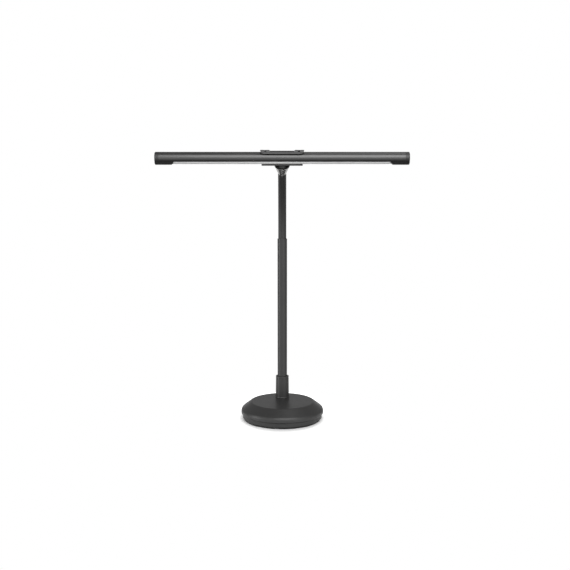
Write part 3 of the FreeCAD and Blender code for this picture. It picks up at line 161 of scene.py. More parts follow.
def turned(outline, steps=128):
    """Spins an outline about Z. Each corner is a radius, a height and, if it is rounded, by how much."""
    shape = bmesh.new()
    corners = [shape.verts.new((corner[0] * MM, 0, corner[1] * MM)) for corner in outline]
    for start, end in zip(corners, corners[1:] + corners[:1]):
        if start.co.x > 0 or end.co.x > 0:
            shape.edges.new((start, end))
    geometry = shape.verts[:] + shape.edges[:]
    bmesh.ops.spin(
        shape, geom=geometry, cent=(0, 0, 0), axis=(0, 0, 1), angle=math.tau, steps=steps, use_merge=True
    )
    bmesh.ops.remove_doubles(shape, verts=shape.verts[:], dist=TOUCHING)
    bmesh.ops.recalc_face_normals(shape, faces=shape.faces[:])
    for corner in outline:
        if len(corner) == 3:
            round_corner(shape, *corner)
    return shape


# %% Straight pieces and rods
ALONG = {"x": ("Y", math.pi / 2), "y": ("X", -math.pi / 2), "z": ("Z", 0)}


def block(outline, low, high, along="x"):
    """Gives an outline length. Its corners are (y, z) along x and (x, z) along y."""
    order = {"x": (1, 2, 0), "y": (0, 2, 1)}[along]
    shape = bmesh.new()
    corners = []
    for across, up in outline:
        spot = [0, 0, 0]
        spot[order[0]], spot[order[1]], spot[order[2]] = across * MM, up * MM, low * MM
        corners.append(shape.verts.new(spot))
    face = shape.faces.new(corners)
    grown = bmesh.ops.extrude_face_region(shape, geom=[face])["geom"]
    shift = Vector((0, 0, 0))
    shift[order[2]] = (high - low) * MM
    bmesh.ops.translate(shape, verts=[g for g in grown if isinstance(g, bmesh.types.BMVert)], vec=shift)
    bmesh.ops.recalc_face_normals(shape, faces=shape.faces[:])
    return shape


def rod(radius, low, high, along="x", segments=128):
    """A round bar along an axis through the origin."""
    shape = bmesh.new()
    bmesh.ops.create_cone(
        shape,
        cap_ends=True,
        segments=segments,
        radius1=radius * MM,
        radius2=radius * MM,
        depth=(high - low) * MM,
    )
    bmesh.ops.translate(shape, verts=shape.verts[:], vec=(0, 0, (low + high) / 2 * MM))
    axis, angle = ALONG[along]
    bmesh.ops.rotate(shape, verts=shape.verts[:], cent=(0, 0, 0), matrix=Matrix.Rotation(angle, 3, axis))
    return shape


def moved(shape, x=0, y=0, z=0):
    bmesh.ops.translate(shape, verts=shape.verts[:], vec=Vector((x, y, z)) * MM)
    return shape


def mirrored(shape):
    """The same shape on the other side of X = 0, with its faces turned the right way again."""
    bmesh.ops.scale(shape, verts=shape.verts[:], vec=(-1, 1, 1))
    bmesh.ops.reverse_faces(shape, faces=shape.faces[:])
    return shape


def trimmed(shape, point, normal):
    """Cuts away what lies beyond a plane, and closes the cut."""
    geometry = shape.verts[:] + shape.edges[:] + shape.faces[:]
    rim = bmesh.ops.bisect_plane(
        shape, geom=geometry, plane_co=Vector(point) * MM, plane_no=normal, clear_outer=True
    )["geom_cut"]
    edges = [item for item in rim if isinstance(item, bmesh.types.BMEdge)]
    bmesh.ops.holes_fill(shape, edges=edges, sides=0)
    bmesh.ops.recalc_face_normals(shape, faces=shape.faces[:])
    return shape


# %% [markdown]
# ## Cutting and joining
#
# A Boolean modifier cuts one mesh out of another, or joins two. It is applied at once here, so that each
# step starts from a plain mesh, as a machinist starts each cut from what the last one left.


# %% Booleans
def combined(shape, tool, operation):
    pair = []
    for part in (shape, tool):
        mesh = bpy.data.meshes.new("part")
        part.to_mesh(mesh)
        part.free()
        pair.append(bpy.data.objects.new("part", mesh))
        scene.collection.objects.link(pair[-1])
    modifier = pair[0].modifiers.new("boolean", "BOOLEAN")
    modifier.object = pair[1]
    modifier.operation = operation
    modifier.solver = "EXACT"
    result = bmesh.new()
    result.from_object(pair[0], bpy.context.evaluated_depsgraph_get())
    for part in pair:
        mesh = part.data
        bpy.data.objects.remove(part)
        bpy.data.meshes.remove(mesh)
    return result


def cut(shape, *tools):
    for tool in tools:
        shape = combined(shape, tool, "DIFFERENCE")
    return shape


def joined(shape, *tools):
    for tool in tools:
        shape = combined(shape, tool, "UNION")
    return shape


# %% [markdown]
# ## Shader sums in plain Python
#
# A procedural finish is arithmetic on patterns. Wiring Math nodes by hand hides that arithmetic, so a
# small class wraps a socket and lets it stand in an expression: 0.4 + 0.1 * grain adds its own Math
# nodes. A second class holds one finish, named after the record's material slot, and adds every other
# kind of node through one method.


# %% Values and finishes
class Value:
    """A socket that can be added, subtracted, multiplied and divided."""

    def __init__(self, finish, socket):
        self.finish = finish
        self.socket = socket

    def math(self, operation, first, second=0.0):
        return self.finish.node("Math", {0: first, 1: second}, operation=operation)

    def __add__(self, other):
        return self.math("ADD", self, other)

    def __sub__(self, other):
        return self.math("SUBTRACT", self, other)

    def __rsub__(self, other):
        return self.math("SUBTRACT", other, self)

    def __mul__(self, other):
        return self.math("MULTIPLY", self, other)

    def __truediv__(self, other):
        return self.math("DIVIDE", self, other)

    def __abs__(self):
        return self.math("ABSOLUTE", self)

    __radd__ = __add__
    __rmul__ = __mul__


class Finish:
    """The material of one slot: a Principled shader and whatever drives it."""

    def __init__(self, slot, **constants):
        self.slot = slot
        self.material = bpy.data.materials.new(slot)
        self.material.use_nodes = True
        self.tree = self.material.node_tree
        self.shader = self.tree.nodes["Principled BSDF"]
        for name, value in constants.items():
            self.shader.inputs[name.replace("_", " ")].default_value = value
        self.place = self.node("TexCoord", output="Object")

    def node(self, kind, values=(), output=0, **settings):
        made = self.tree.nodes.new("ShaderNode" + kind)
        for name, setting in settings.items():
            setattr(made, name, setting)
        for name, value in dict(values).items():
            self.put(made.inputs[name], value)
        return Value(self, made.outputs[output])

    def put(self, socket, value):
        if isinstance(value, Value):
            self.tree.links.new(value.socket, socket)
        else:
            socket.default_value = value

    def centred(self, spot, turn=0.0, stretch=(1, 1, 1)):
        """Object coordinates counted from a spot, turned about X and stretched."""
        shifted = self.node("VectorMath", {0: self.place, 1: spot}, operation="SUBTRACT")
        values = {"Vector": shifted, "Rotation": (turn, 0, 0), "Scale": stretch}
        return self.node("Mapping", values, vector_type="POINT")

    def axis(self, vector, name):
        """One coordinate of a vector, in metres."""
        return self.node("SeparateXYZ", {"Vector": vector}, output=name)

    def noise(self, scale, detail=2.0, vector=None):
        """Cloudy variation from 0 to 1, with about scale clouds to the metre."""
        values = {"Vector": vector or self.place, "Scale": scale, "Detail": detail, "Roughness": 0.55}
        return self.node("TexNoise", values)

    def between(self, value, low, high):
        """0 below low, 1 above high and a smooth step in between."""
        values = {"Value": value, "From Min": low, "From Max": high}
        return self.node("MapRange", values, interpolation_type="SMOOTHSTEP")

    def mix(self, mask, low, high):
        """One colour where the mask is 0 and another where it is 1."""
        return self.node("Mix", {0: mask, 6: low, 7: high}, output=2, data_type="RGBA")

    def dress(self, colour, roughness, height, depth):
        """Connects what varies. Height is a Value near 0 to 1, and depth is how deep that is in metres."""
        self.put(self.shader.inputs["Base Color"], colour)
        self.put(self.shader.inputs["Roughness"], roughness)
        bump = self.node("Bump", {"Height": height, "Distance": depth, "Strength": 1.0})
        self.put(self.shader.inputs["Normal"], bump)
        finishes[self.slot] = self


finishes = {}


def grey(level, warmth=0.0):
    """A neutral colour, a little warmer or cooler."""
    return (level * (1 + warmth), level, level * (1 - warmth), 1)


# %% [markdown]
# ## Black finishes
#
# A black object shows almost nothing but reflections, so what tells powder coat from moulded plastic or
# rubber is roughness and fine relief. Powder coat has a slight orange peel. Moulded plastic has an even
# spark-eroded grain. An anodised tube keeps faint lines along its length. A rubber sleeve is dull and
# slightly mottled. Each finish is one small sum: a cloudy pattern moves the colour and the roughness, and
# a fine one makes the relief.


# %% Black paint, plastic and rubber
def black(
    slot, level, rough, grain, depth, peel=0.0, cloud=22.0, spread=0.05, stretch=(1, 1, 1), **constants
):
    finish = Finish(slot, **constants)
    grown = finish.centred((0, 0, 0), stretch=stretch)
    clouds = finish.noise(cloud, 3.0)
    fine = finish.noise(grain, 2.0, grown)
    smudges = finish.between(finish.noise(cloud * 4, 4.0), 0.45, 0.75)
    colour = finish.mix(clouds, grey(level * 0.86), grey(level * 1.16, 0.02))
    roughness = rough + spread * (clouds - 0.5) + 0.6 * spread * (fine - 0.5) + 0.5 * spread * smudges
    relief = fine
    if peel:
        relief = fine * (1 - peel) + peel * finish.noise(grain / 6, 1.0)
    finish.dress(colour, roughness, relief, depth)


black("satin_black_paint", 0.020, 0.40, 2600, 0.00002, peel=0.5, Specular_IOR_Level=0.5)
drawn_out = (0.02, 1, 1)
black("satin_black_bar", 0.016, 0.30, 1800, 0.000012, stretch=drawn_out, spread=0.07, Specular_IOR_Level=0.9)
black("base_plastic", 0.018, 0.46, 3200, 0.00003, spread=0.04)
black("head_plastic", 0.018, 0.38, 3400, 0.000018, spread=0.05)
black("button_plastic", 0.018, 0.36, 3600, 0.00001, spread=0.06, Specular_IOR_Level=0.3)
black("neck_sleeve", 0.014, 0.52, 2200, 0.00003, peel=0.3, cloud=60.0, spread=0.06)
black("foot_rubber", 0.012, 0.80, 1500, 0.00006, spread=0.08)
black("black_ball", 0.010, 0.42, 1900, 0.000006, spread=0.05)
black("seat_nylon", 0.016, 0.5, 2400, 0.00002)
black("inlet_plastic", 0.014, 0.3, 2400, 0.00001)
black("lead_sheath", 0.026, 0.5, 1800, 0.00003)
print(len(finishes), "black finishes")

# %% [markdown]
# ## Metals
#
# The cup was turned, so its tool marks run round the gooseneck's axis: the pattern is a noise of the
# distance along that axis alone. Zinc plating is a mottled grey with a spangle of small crystals, which
# is a Voronoi pattern. Cast iron is dark, dull and grainy.


# %% Nickel, zinc, iron and small metal parts
nickel = Finish("satin_nickel", Metallic=1.0)
along = nickel.axis(nickel.centred(ball_centre, -lean), "Z")
rings = nickel.noise(1.0, 2.0, nickel.node("CombineXYZ", {"X": along * 5200}))
haze = nickel.noise(90, 3.0)
bright = nickel.mix(haze, grey(0.33, 0.01), grey(0.43, 0.015))
nickel.dress(bright, 0.15 + 0.06 * haze + 0.05 * rings, rings, 0.000005)

zinc = Finish("zinc_steel", Metallic=1.0)
spangle = zinc.node("TexVoronoi", {"Vector": zinc.place, "Scale": 900}, output="Color")
crystals = zinc.axis(spangle, "X")
scuffs = zinc.noise(700, 4.0)
plated = zinc.mix(crystals, grey(0.42), grey(0.60, 0.02))
zinc.dress(plated, 0.28 + 0.16 * crystals + 0.1 * scuffs, scuffs, 0.00001)

iron = Finish("cast_iron", Metallic=0.7)
sand = iron.noise(1100, 6.0)
rust = iron.between(iron.noise(40, 5.0), 0.58, 0.78)
iron.dress(iron.mix(rust, grey(0.10), (0.13, 0.085, 0.06, 1)), 0.62 + 0.2 * sand, sand, 0.00015)

contact = Finish("contact_metal", Metallic=1.0)
drawn = contact.noise(2500, 2.0, contact.centred((0, 0, 0), stretch=(1, 0.05, 1)))
alloy = contact.mix(drawn, (0.62, 0.57, 0.45, 1), (0.74, 0.7, 0.6, 1))
contact.dress(alloy, 0.2 + 0.12 * drawn, drawn, 0.000004)

cans = Finish("capacitor_cans", Metallic=0.85)
drawn = cans.noise(1600, 2.0)
cans.dress(cans.mix(drawn, grey(0.36, -0.03), grey(0.5, -0.02)), 0.24 + 0.14 * drawn, drawn, 0.000006)
print(len(finishes), "finishes")

# %% [markdown]
# ## Light-bar optics and circuit boards
#
# The diffuser is opal acrylic: white, translucent and slightly frosted. The LED board under it is white,
# with tinned pads at each LED, and each LED is a yellow phosphor window in a white frame. The LEDs repeat
# every 13 mm, so the remainder of X divided by that pitch says where on its own LED a point is. The
# circuit boards are green laminate with raised tracks and tinned pads. Their coil is wound on dark
# ferrite.

# %% Diffuser, LEDs and boards
opal = Finish("opal_diffuser", Subsurface_Weight=0.35, Subsurface_Scale=0.002, IOR=1.49)
opal.shader.inputs["Subsurface Radius"].default_value = (1, 1, 1)
frost = opal.noise(2600, 2.0)
depth_tone = opal.noise(14, 2.0)
opal.dress(opal.mix(depth_tone, grey(0.80), grey(0.86)), 0.34 + 0.1 * frost, frost, 0.00001)

LED_PITCH = 0.0133214


def led_place(finish):
    """Where a point is on its own LED: metres along and across from the LED's centre."""
    run = finish.axis(finish.place, "X") / LED_PITCH
    cell = run.math("FRACT", run + 100.0)
    across = finish.axis(finish.place, "Y") - bar_centre.y
    return abs(cell - 0.5) * LED_PITCH, abs(across)


phosphor = Finish("led_phosphor")
off_x, off_y = led_place(phosphor)
window = (1 - phosphor.between(off_x, 0.0012, 0.0013)) * (1 - phosphor.between(off_y, 0.00095, 0.00105))
dots = phosphor.noise(3500, 3.0)
yellow = phosphor.mix(dots, (0.80, 0.52, 0.07, 1), (0.92, 0.66, 0.14, 1))
phosphor.dress(phosphor.mix(window, grey(0.82), yellow), 0.5 - 0.25 * window, dots, 0.00001)

mask = Finish("led_board_white")
off_x, off_y = led_place(mask)
pad = mask.between(off_x, 0.0016, 0.0017) * (1 - mask.between(off_x, 0.0026, 0.0027))
pad = pad * (1 - mask.between(off_y, 0.0011, 0.0012))
trace = mask.between(off_x, 0.0027, 0.0028) * (1 - mask.between(off_y, 0.0016, 0.0018))
dust = mask.noise(400, 3.0)
white = mask.mix(trace, mask.mix(dust, grey(0.76), grey(0.82)), grey(0.70, 0.03))
mask.dress(mask.mix(pad, white, grey(0.62)), 0.42 - 0.16 * pad + 0.08 * dust, pad + 0.5 * trace, 0.00003)

laminate = Finish("board_laminate", Coat_Weight=0.2)
cells = laminate.node(
    "TexVoronoi", {"Vector": laminate.place, "Scale": 330}, feature="DISTANCE_TO_EDGE"
)
tracks = 1 - laminate.between(cells, 0.05, 0.07)
islands = laminate.node("TexVoronoi", {"Vector": laminate.place, "Scale": 260})
pads = 1 - laminate.between(islands, 0.16, 0.19)
weave = laminate.noise(2400, 2.0)
green = laminate.mix(tracks, (0.010, 0.085, 0.035, 1), (0.022, 0.16, 0.06, 1))
board_colour = laminate.mix(pads, green, grey(0.55, 0.02))
laminate.dress(board_colour, 0.32 + 0.1 * weave - 0.08 * pads, tracks * 0.6 + pads, 0.00003)

ferrite = Finish("coil_core")
wound = ferrite.noise(1.0, 1.0, ferrite.centred((0, 0, 0), stretch=(60, 60, 2200)))
ferrite.dress(ferrite.mix(wound, grey(0.035), grey(0.075)), 0.55 + 0.2 * wound, wound, 0.00008)

housing = Finish("connector_plastic")
flecks = housing.noise(1200, 3.0)
cream = housing.mix(flecks, (0.60, 0.57, 0.48, 1), (0.68, 0.65, 0.57, 1))
housing.dress(cream, 0.35 + 0.1 * flecks, flecks, 0.00002)
print(len(finishes), "finishes")

# %% [markdown]
# ## Finishing a piece
#
# Each piece is put in its place, given a name, a finish and a body to ride on, and it hides the plain
# solid that it stands for. A narrow Bevel catches light along edges that the helpers left sharp, as a
# real part's broken edges do, and Weighted Normal keeps the flats flat beside it. Where no width is given
# there is no Bevel, and edges that turn by more than SHARP stay sharp. The printout says whether the mesh
# is closed.


# %% Finish a piece
SHARP = math.radians(32)


def finish_piece(shape, name, slot, body, stands_for, place=at_base, edge=0.0):
    shape.transform(place)
    open_edges = sum(not item.is_manifold for item in shape.edges)
    mesh = bpy.data.meshes.new(name)
    shape.to_mesh(mesh)
    shape.free()
    mesh.shade_smooth()
    mesh.materials.append(finishes[slot].material)
    piece = bpy.data.objects.new(name, mesh)
    scene.collection.objects.link(piece)
    if edge:
        bevel = piece.modifiers.new("edges", "BEVEL")
        bevel.width = edge * MM
        bevel.segments = 2
        bevel.limit_method = "ANGLE"
        bevel.angle_limit = SHARP
        bevel.use_clamp_overlap = True
    else:
        mesh.set_sharp_from_angle(angle=SHARP)
    weighted = piece.modifiers.new("flats", "WEIGHTED_NORMAL")
    weighted.keep_sharp = True
    if body:
        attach(piece, body)
    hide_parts(*stands_for)
    print(f"{name}: {len(mesh.polygons)} faces, {open_edges} open edges")
    return piece


# %% [markdown]
# ## The base
#
# The cover is a spun steel shell with a flat top, a sloping skirt and a short upright rim. Its plateau
# meets the skirt in a soft round, and the rim has small rounds that show as thin bright lines. The
# plastic plate below it ends in a band, with a dark gap between the two. Both are turned outlines, and
# the inlet's opening at the back is a rod cut through them. A second hole, under the pole, lets the
# pole's stud through the cover.

# %% Base cover and plate
BASE_TOP = 30.3


def inlet_opening():
    """The hole for the power inlet, through the back of the base."""
    return moved(rod(4.2, 58, 70, "y", 48), z=9.9)


cover = turned(
    [
        (64.3, 10.9, 0.15),
        (67.4, 10.9, 0.35),
        (68.3, 11.8, 0.35),
        (68.3, 18.3, 3.24),
        (52.4, BASE_TOP, 2.0),
        (0, BASE_TOP),
        (0, 27.9),
        (51.2, 27.9),
        (64.3, 15.9),
    ],
    steps=192,
)
stud_hole = moved(rod(5.1, 26, 32, "z", 48), y=hinges[0].y / MM)
cover = cut(cover, inlet_opening(), stud_hole)
finish_piece(cover, "cover_shell", "satin_black_paint", "base", ["base_cover"])

plate = turned(
    [
        (0, 3.2),
        (56.9, 3.2, 0.2),
        (56.9, 4.0),
        (63.5, 4.0),
        (63.5, 3.2, 0.2),
        (65.0, 3.2, 0.3),
        (65.7, 3.9, 0.3),
        (65.7, 9.9, 0.3),
        (65.2, 10.4, 0.3),
        (64.2, 10.4),
        (64.2, 14.5, 0.3),
        (62.2, 14.5, 0.3),
        (62.2, 5.4),
        (0, 5.4),
    ],
    steps=192,
)
SCREW_CIRCLE = 42.0
corner = SCREW_CIRCLE * math.sqrt(0.5)
screw_spots = [(corner, corner), (-corner, corner), (-corner, -corner), (corner, -corner)]
sinks = [moved(rod(3.3, 2, 6.2, "z", 48), x, y) for x, y in screw_spots]
pads = [moved(rod(5.0, 3.3, 9.0, "z", 48), x, y) for x, y in screw_spots]
plate = cut(joined(plate, *pads), inlet_opening(), *sinks)
finish_piece(plate, "plate_shell", "base_plastic", "base", ["base_plate"])

# %% [markdown]
# ## Foot ring and screws
#
# The lamp stands on a ring of rubber, grooved so that it grips. The grooves are part of the turned
# outline. The screws that hold the base together sit in sinks inside the ring, each a low cylinder head
# with a hexagon socket. Two smaller ones hold the saddle's mouldings together.

# %% Foot ring
GROOVES, GROOVE_DEPTH, GROOVE_WIDTH = [58.4, 59.8, 61.2], 0.5, 0.6
sole = [(57.0, 0.0, 0.3)]
for start in GROOVES:
    end = start + GROOVE_WIDTH
    sole += [(start, 0.0), (start, GROOVE_DEPTH), (end, GROOVE_DEPTH), (end, 0.0)]
sole += [(62.6, 0.0, 0.3), (63.4, 0.8, 0.3), (63.4, 4.0), (57.0, 4.0)]
finish_piece(turned(sole, 160), "grooved_foot", "foot_rubber", "base", ["foot_ring"])


# %% Screws
SOCKET_SHARE = 0.55
SADDLE_SCREW_SIDE, SADDLE_SCREW_BACK = 12.0, 13.2


def screw(radius, low, top, shank, reach, socket):
    """A cylinder-head screw that points up the Z axis, with a hexagon socket in its head."""
    around = [(0, low), (radius, low, 0.3), (radius, top), (shank, top), (shank, reach), (0, reach)]
    head = turned(around, 48)
    key = rod(socket, low - 1, low + SOCKET_SHARE * (top - low), "z", 6)
    return cut(head, key)


def saddle_pair(make):
    """What make gives, once at each of the saddle's two screws."""
    return [moved(make(), side * SADDLE_SCREW_SIDE, SADDLE_SCREW_BACK) for side in (-1, 1)]


def gathered(shapes):
    """Several separate shapes in one."""
    whole = bmesh.new()
    for shape in shapes:
        mesh = bpy.data.meshes.new("part")
        shape.to_mesh(mesh)
        shape.free()
        whole.from_mesh(mesh)
        bpy.data.meshes.remove(mesh)
    return whole


screws = gathered([moved(screw(3.2, 4.6, 6.2, 1.6, 22.0, 1.5), x, y) for x, y in screw_spots])
finish_piece(screws, "socket_screws", "zinc_steel", "base", ["base_screws"])
screws = gathered(saddle_pair(lambda: screw(2.3, -3.5, -2.0, 1.25, 8.0, 1.1)))
finish_piece(screws, "head_screws", "zinc_steel", "head", ["saddle_screws"], at_bar)

# %% [markdown]
# ## Pole and collar
#
# The pole is a straight tube, and the collar is a slightly tapered sleeve round its foot, with a fine
# groove near its top and a rounded lip where it meets the base. Both catch a bright line at their top
# edges.

# %% Pole and collar
POLE_RADIUS, POLE_BORE, POLE_TOP = 7.9, 6.7, 298.8
foot = [(POLE_BORE, BASE_TOP), (POLE_RADIUS, BASE_TOP)]
tube = turned([*foot, (POLE_RADIUS, POLE_TOP, 0.35), (POLE_BORE, POLE_TOP, 0.2)], 96)
finish_piece(tube, "pole_tube", "satin_black_paint", "base", ["pole"], at_pole)
sleeve = turned(
    [
        (8.0, BASE_TOP),
        (11.5, BASE_TOP, 0.25),
        (11.5, BASE_TOP + 1.4, 0.6),
        (11.1, BASE_TOP + 1.9),
        (10.7, BASE_TOP + 32.65),
        (10.45, BASE_TOP + 32.9),
        (10.45, BASE_TOP + 33.5),
        (10.7, BASE_TOP + 33.75),
        (10.7, BASE_TOP + 37.1, 0.5),
        (8.0, BASE_TOP + 37.1, 0.2),
    ],
    96,
)
finish_piece(sleeve, "collar_sleeve", "satin_black_paint", "base", ["collar"], at_pole)

# %% [markdown]
# ## The gooseneck's sleeve
#
# The steel links inside are hidden by one smooth sleeve. A single mesh can't follow nine bodies, so the
# sleeve is eight lengths, each centred on one hinge, cut halfway along the links, where nothing bends. A
# ring of the sleeve is spun about the centre of the gooseneck's curve to make each length, and the two end
# lengths also have a straight part.
#
# For each length the loop picks the links below and above its hinge, and for the one in FROM_ABOVE the
# other way round, because from below its mesh comes out wrong at one limit of the neck. Nothing uses that
# pair: each length is baked in place in its rest shape, rides on no body and does not bend.

# %% Gooseneck sleeve
NECK_RADIUS, NECK_BORE = 6.6, 5.4
STUB, TIP_STUB = 7.0, 10.0
BEND_STEP = math.radians(0.5)
BEND_REACH = 5.5
FROM_ABOVE = "neck_bend_3"
turn = lean / (len(hinges) - 1)
chord = (hinges[1] - hinges[0]).length
bend_radius = chord / (2 * math.sin(turn / 2))
bend_centre = hinges[0] - Vector((0, bend_radius, 0))


def neck_length(start, end, straight_before, straight_after):
    """A tube that follows the curve from one angle to another."""
    shape = bmesh.new()
    ring = bmesh.ops.create_circle(shape, segments=64, radius=NECK_BORE * MM)["verts"]
    ring += bmesh.ops.create_circle(shape, segments=64, radius=NECK_RADIUS * MM)["verts"]
    bmesh.ops.bridge_loops(shape, edges=shape.edges[:])
    onto_curve = Matrix.Rotation(start, 4, "X") @ Matrix.Translation((0, bend_radius, 0))
    shape.transform(Matrix.Translation(bend_centre) @ onto_curve)
    front = shape.faces[:]
    along = Vector((0, -math.sin(start), math.cos(start)))
    if straight_before:
        bmesh.ops.translate(shape, verts=shape.verts[:], vec=-along * straight_before * MM)
        grown = bmesh.ops.extrude_face_region(shape, geom=front)["geom"]
        verts = [item for item in grown if isinstance(item, bmesh.types.BMVert)]
        front = [item for item in grown if isinstance(item, bmesh.types.BMFace)]
        bmesh.ops.translate(shape, verts=verts, vec=along * straight_before * MM)
    edges = list({edge for face in front for edge in face.edges})
    steps = max(4, round((end - start) / BEND_STEP))
    grown = bmesh.ops.spin(
        shape, geom=front + edges, cent=bend_centre, axis=(1, 0, 0), angle=end - start, steps=steps
    )["geom_last"]
    if straight_after:
        along = Vector((0, -math.sin(end), math.cos(end)))
        front = [item for item in grown if isinstance(item, bmesh.types.BMFace)]
        grown = bmesh.ops.extrude_face_region(shape, geom=front)["geom"]
        verts = [item for item in grown if isinstance(item, bmesh.types.BMVert)]
        bmesh.ops.translate(shape, verts=verts, vec=along * straight_after * MM)
        bmesh.ops.delete(shape, geom=front, context="FACES")
    bmesh.ops.recalc_face_normals(shape, faces=shape.faces[:])
    return shape


for number, (joint, hinge) in enumerate(zip(neck_joints, hinges)):
    middle = number * turn
    first, last = number == 0, number == len(hinges) - 1
    start = middle if first else middle - turn / 2
    end = middle if last else middle + turn / 2
    stands_for = ["neck_sleeve_foot"] if first else [f"neck_sleeve_{number}"]
    if last:
        stands_for.append("neck_sleeve_tip")
    shape = neck_length(start, end, STUB if first else 0, TIP_STUB if last else 0)
    piece = finish_piece(shape, f"neck_skin_{number + 1}", "neck_sleeve", None, stands_for)
    along = Vector((0, -math.sin(middle), math.cos(middle))) * BEND_REACH * MM
    links = [(joint["parent"], hinge - along), (joint["child"], hinge + along)]
    if joint["name"] == FROM_ABOVE:
        links.reverse()
    (before, start), (after, end) = links
    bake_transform(piece)

# %% [markdown]
# ## The cup and the ball
#
# A bright turned cup is screwed to the gooseneck's end. A black ball sits in it, held by a nylon seat,
# and its flattened top is fixed under the saddle. The cup is a cone with a narrow waist and a thin rim.
# The ball is a sphere with its top cut off, and a short shank is joined on at the cut.

# %% Cup and ball
cup = turned(
    [
        (3.4, 10.0),
        (6.3, 10.0, 0.2),
        (6.3, 11.0, 0.12),
        (6.2, 11.3),
        (6.2, 11.8, 0.15),
        (7.0, 12.6, 0.5),
        (12.2, 27.3, 0.3),
        (11.35, 27.3, 0.3),
        (6.0, 15.0),
        (3.4, 15.0),
    ],
    128,
)
finish_piece(cup, "bright_cup", "satin_nickel", "neck_end", ["swivel_cup"], at_cup)

BALL_RADIUS, BALL_FLAT, BALL_HEIGHT = 7.2, 5.9, 23.7
ball = bmesh.new()
bmesh.ops.create_uvsphere(ball, u_segments=96, v_segments=64, radius=BALL_RADIUS * MM)
ball = trimmed(ball, (0, 0, BALL_FLAT), (0, 0, 1))
shank = rod(2.5, BALL_FLAT - 0.4, BALL_FLAT + 1.6, "z", 48)
ball = moved(joined(ball, shank), z=BALL_HEIGHT)
finish_piece(ball, "black_ball_stud", "black_ball", "head", ["ball_stud"], at_cup)

# %% [markdown]
# ## The saddle
#
# The head holds the light bar in a saddle of two mouldings: a bracket behind and below the bar, and a
# cover over it. Each is an extruded outline with the bar's bore cut through it. The bracket's underside
# slopes up to its back, and the cover's front curves back to its top. The cover's ends are cut lower, so
# that the buttons can move there, and its lower front corners are cut off at a slant.

# %% Bracket and cover
BORE, NEAR, BACK, SPLIT, UNDER = 9.6, 0.6, 17, 4.2, -12.25
BRACKET_HALF, POD_HALF = 32.35, 34.0
STEP, POD_TOP = 10.4, 11.2
outline = [(0.9, UNDER), (4.3, UNDER), (BACK, -2.2), (BACK, SPLIT), (NEAR, SPLIT), (NEAR, -11.9)]
bracket = block(outline, -BRACKET_HALF, BRACKET_HALF)
sinks = saddle_pair(lambda: rod(2.4, -12, -2.0, "z", 48))
bracket = cut(bracket, rod(BORE, -40, 40, "x", 192), *sinks)
finish_piece(bracket, "saddle_bracket", "head_plastic", "head", ["head_bracket"], at_bar, edge=0.35)

curved_front = [(-10.6, 6.3), (-10.55, 7.2), (-10.2, 8.4), (-9.5, 9.6), (-8.4, 10.6), (-7.0, POD_TOP)]
back_and_bottom = [(16.2, POD_TOP), (BACK, 10.4), (BACK, SPLIT), (0, SPLIT), (0, 6.3)]
pod = block([*curved_front, *back_and_bottom], -POD_HALF, POD_HALF)
steps = [block([(-12, STEP), (18, STEP), (18, 14), (-12, 14)], side * 18.8, side * 36) for side in (-1, 1)]
corners = [
    block([(side * 35, 8.67), (side * 35, 4.0), (side * 22.4, 4.0)], -12, 0, "y") for side in (-1, 1)
]
pod = cut(pod, rod(BORE, -40, 40, "x", 192), *steps, *corners)
finish_piece(pod, "pod_cover", "head_plastic", "head", ["control_cover"], at_bar, edge=0.3)

# %% [markdown]
# ## The buttons
#
# Each end of the pod is a wide button cap, a little higher than the cover between them, with a slightly
# dished top so that a finger finds it. Its inner edge slopes. The cap is an outline extruded from front
# to back, a very large rod cuts the dish, and a stem goes down to the switch.


# %% Buttons
CAP_INNER, CAP_OUTER, CAP_LOW, CAP_TOP = 19.1, 34.3, 10.8, 12.5
CAP_FRONT, CAP_BACK = -8.6, 15.2
DISH_RADIUS, DISH_DEPTH = 70, 0.15
STEM_BACK = 13.2


def button_cap():
    """The right button, at the light bar's frame."""
    level = [(CAP_INNER, CAP_LOW), (CAP_OUTER, CAP_LOW), (CAP_OUTER, CAP_TOP)]
    cap = block([*level, (21.1, CAP_TOP), (CAP_INNER, 11.6)], CAP_FRONT, CAP_BACK, "y")
    middle = (CAP_INNER + CAP_OUTER) / 2
    dish = moved(rod(DISH_RADIUS, -12, 17, "y", 512), middle, 0, CAP_TOP + DISH_RADIUS - DISH_DEPTH)
    stem = moved(rod(1.5, 5.8, 11.2, "z", 32), middle, STEM_BACK)
    return joined(cut(cap, dish), stem)


right, left = button_cap(), mirrored(button_cap())
finish_piece(right, "right_cap", "button_plastic", "right_button", ["button_right"], at_bar, edge=0.25)
finish_piece(left, "left_cap", "button_plastic", "left_button", ["button_left"], at_bar, edge=0.25)

# %% [markdown]
# ## The light bar
#
# The housing is an aluminium tube with its lower part cut away, and the opal diffuser closes that
# opening. Both follow the same circle. A web runs across the tube, and a slot in its back lets the lead
# in. An end cap closes each end, with a tongue that runs inwards under the bar and ends in a slant. The
# tongue is the cap's own round moved down a little, cut off at the window's height and at the slant. A
# plug holds the cap in the tube.

# %% Housing
BAR, WINDOW = 9.5, -6.05
HALF, PANE_HALF, END = 193.3, 180, 200
tube = cut(rod(BAR, -HALF, HALF, "x", 160), rod(8.3, -HALF - 1, HALF + 1, "x", 160))
tube = trimmed(tube, (0, 0, WINDOW), (0, 0, -1))
web = block([(-8.6, 0.6), (8.6, 0.6), (8.6, 1.8), (-8.6, 1.8)], -HALF, HALF)
slot = block([(5.2, -2.4), (12, -2.4), (12, 7.9), (5.2, 7.9)], -4, 4)
tube = cut(joined(tube, web), slot)
finish_piece(tube, "bar_tube", "satin_black_bar", "light_bar", ["bar_housing"], at_bar, edge=0.12)

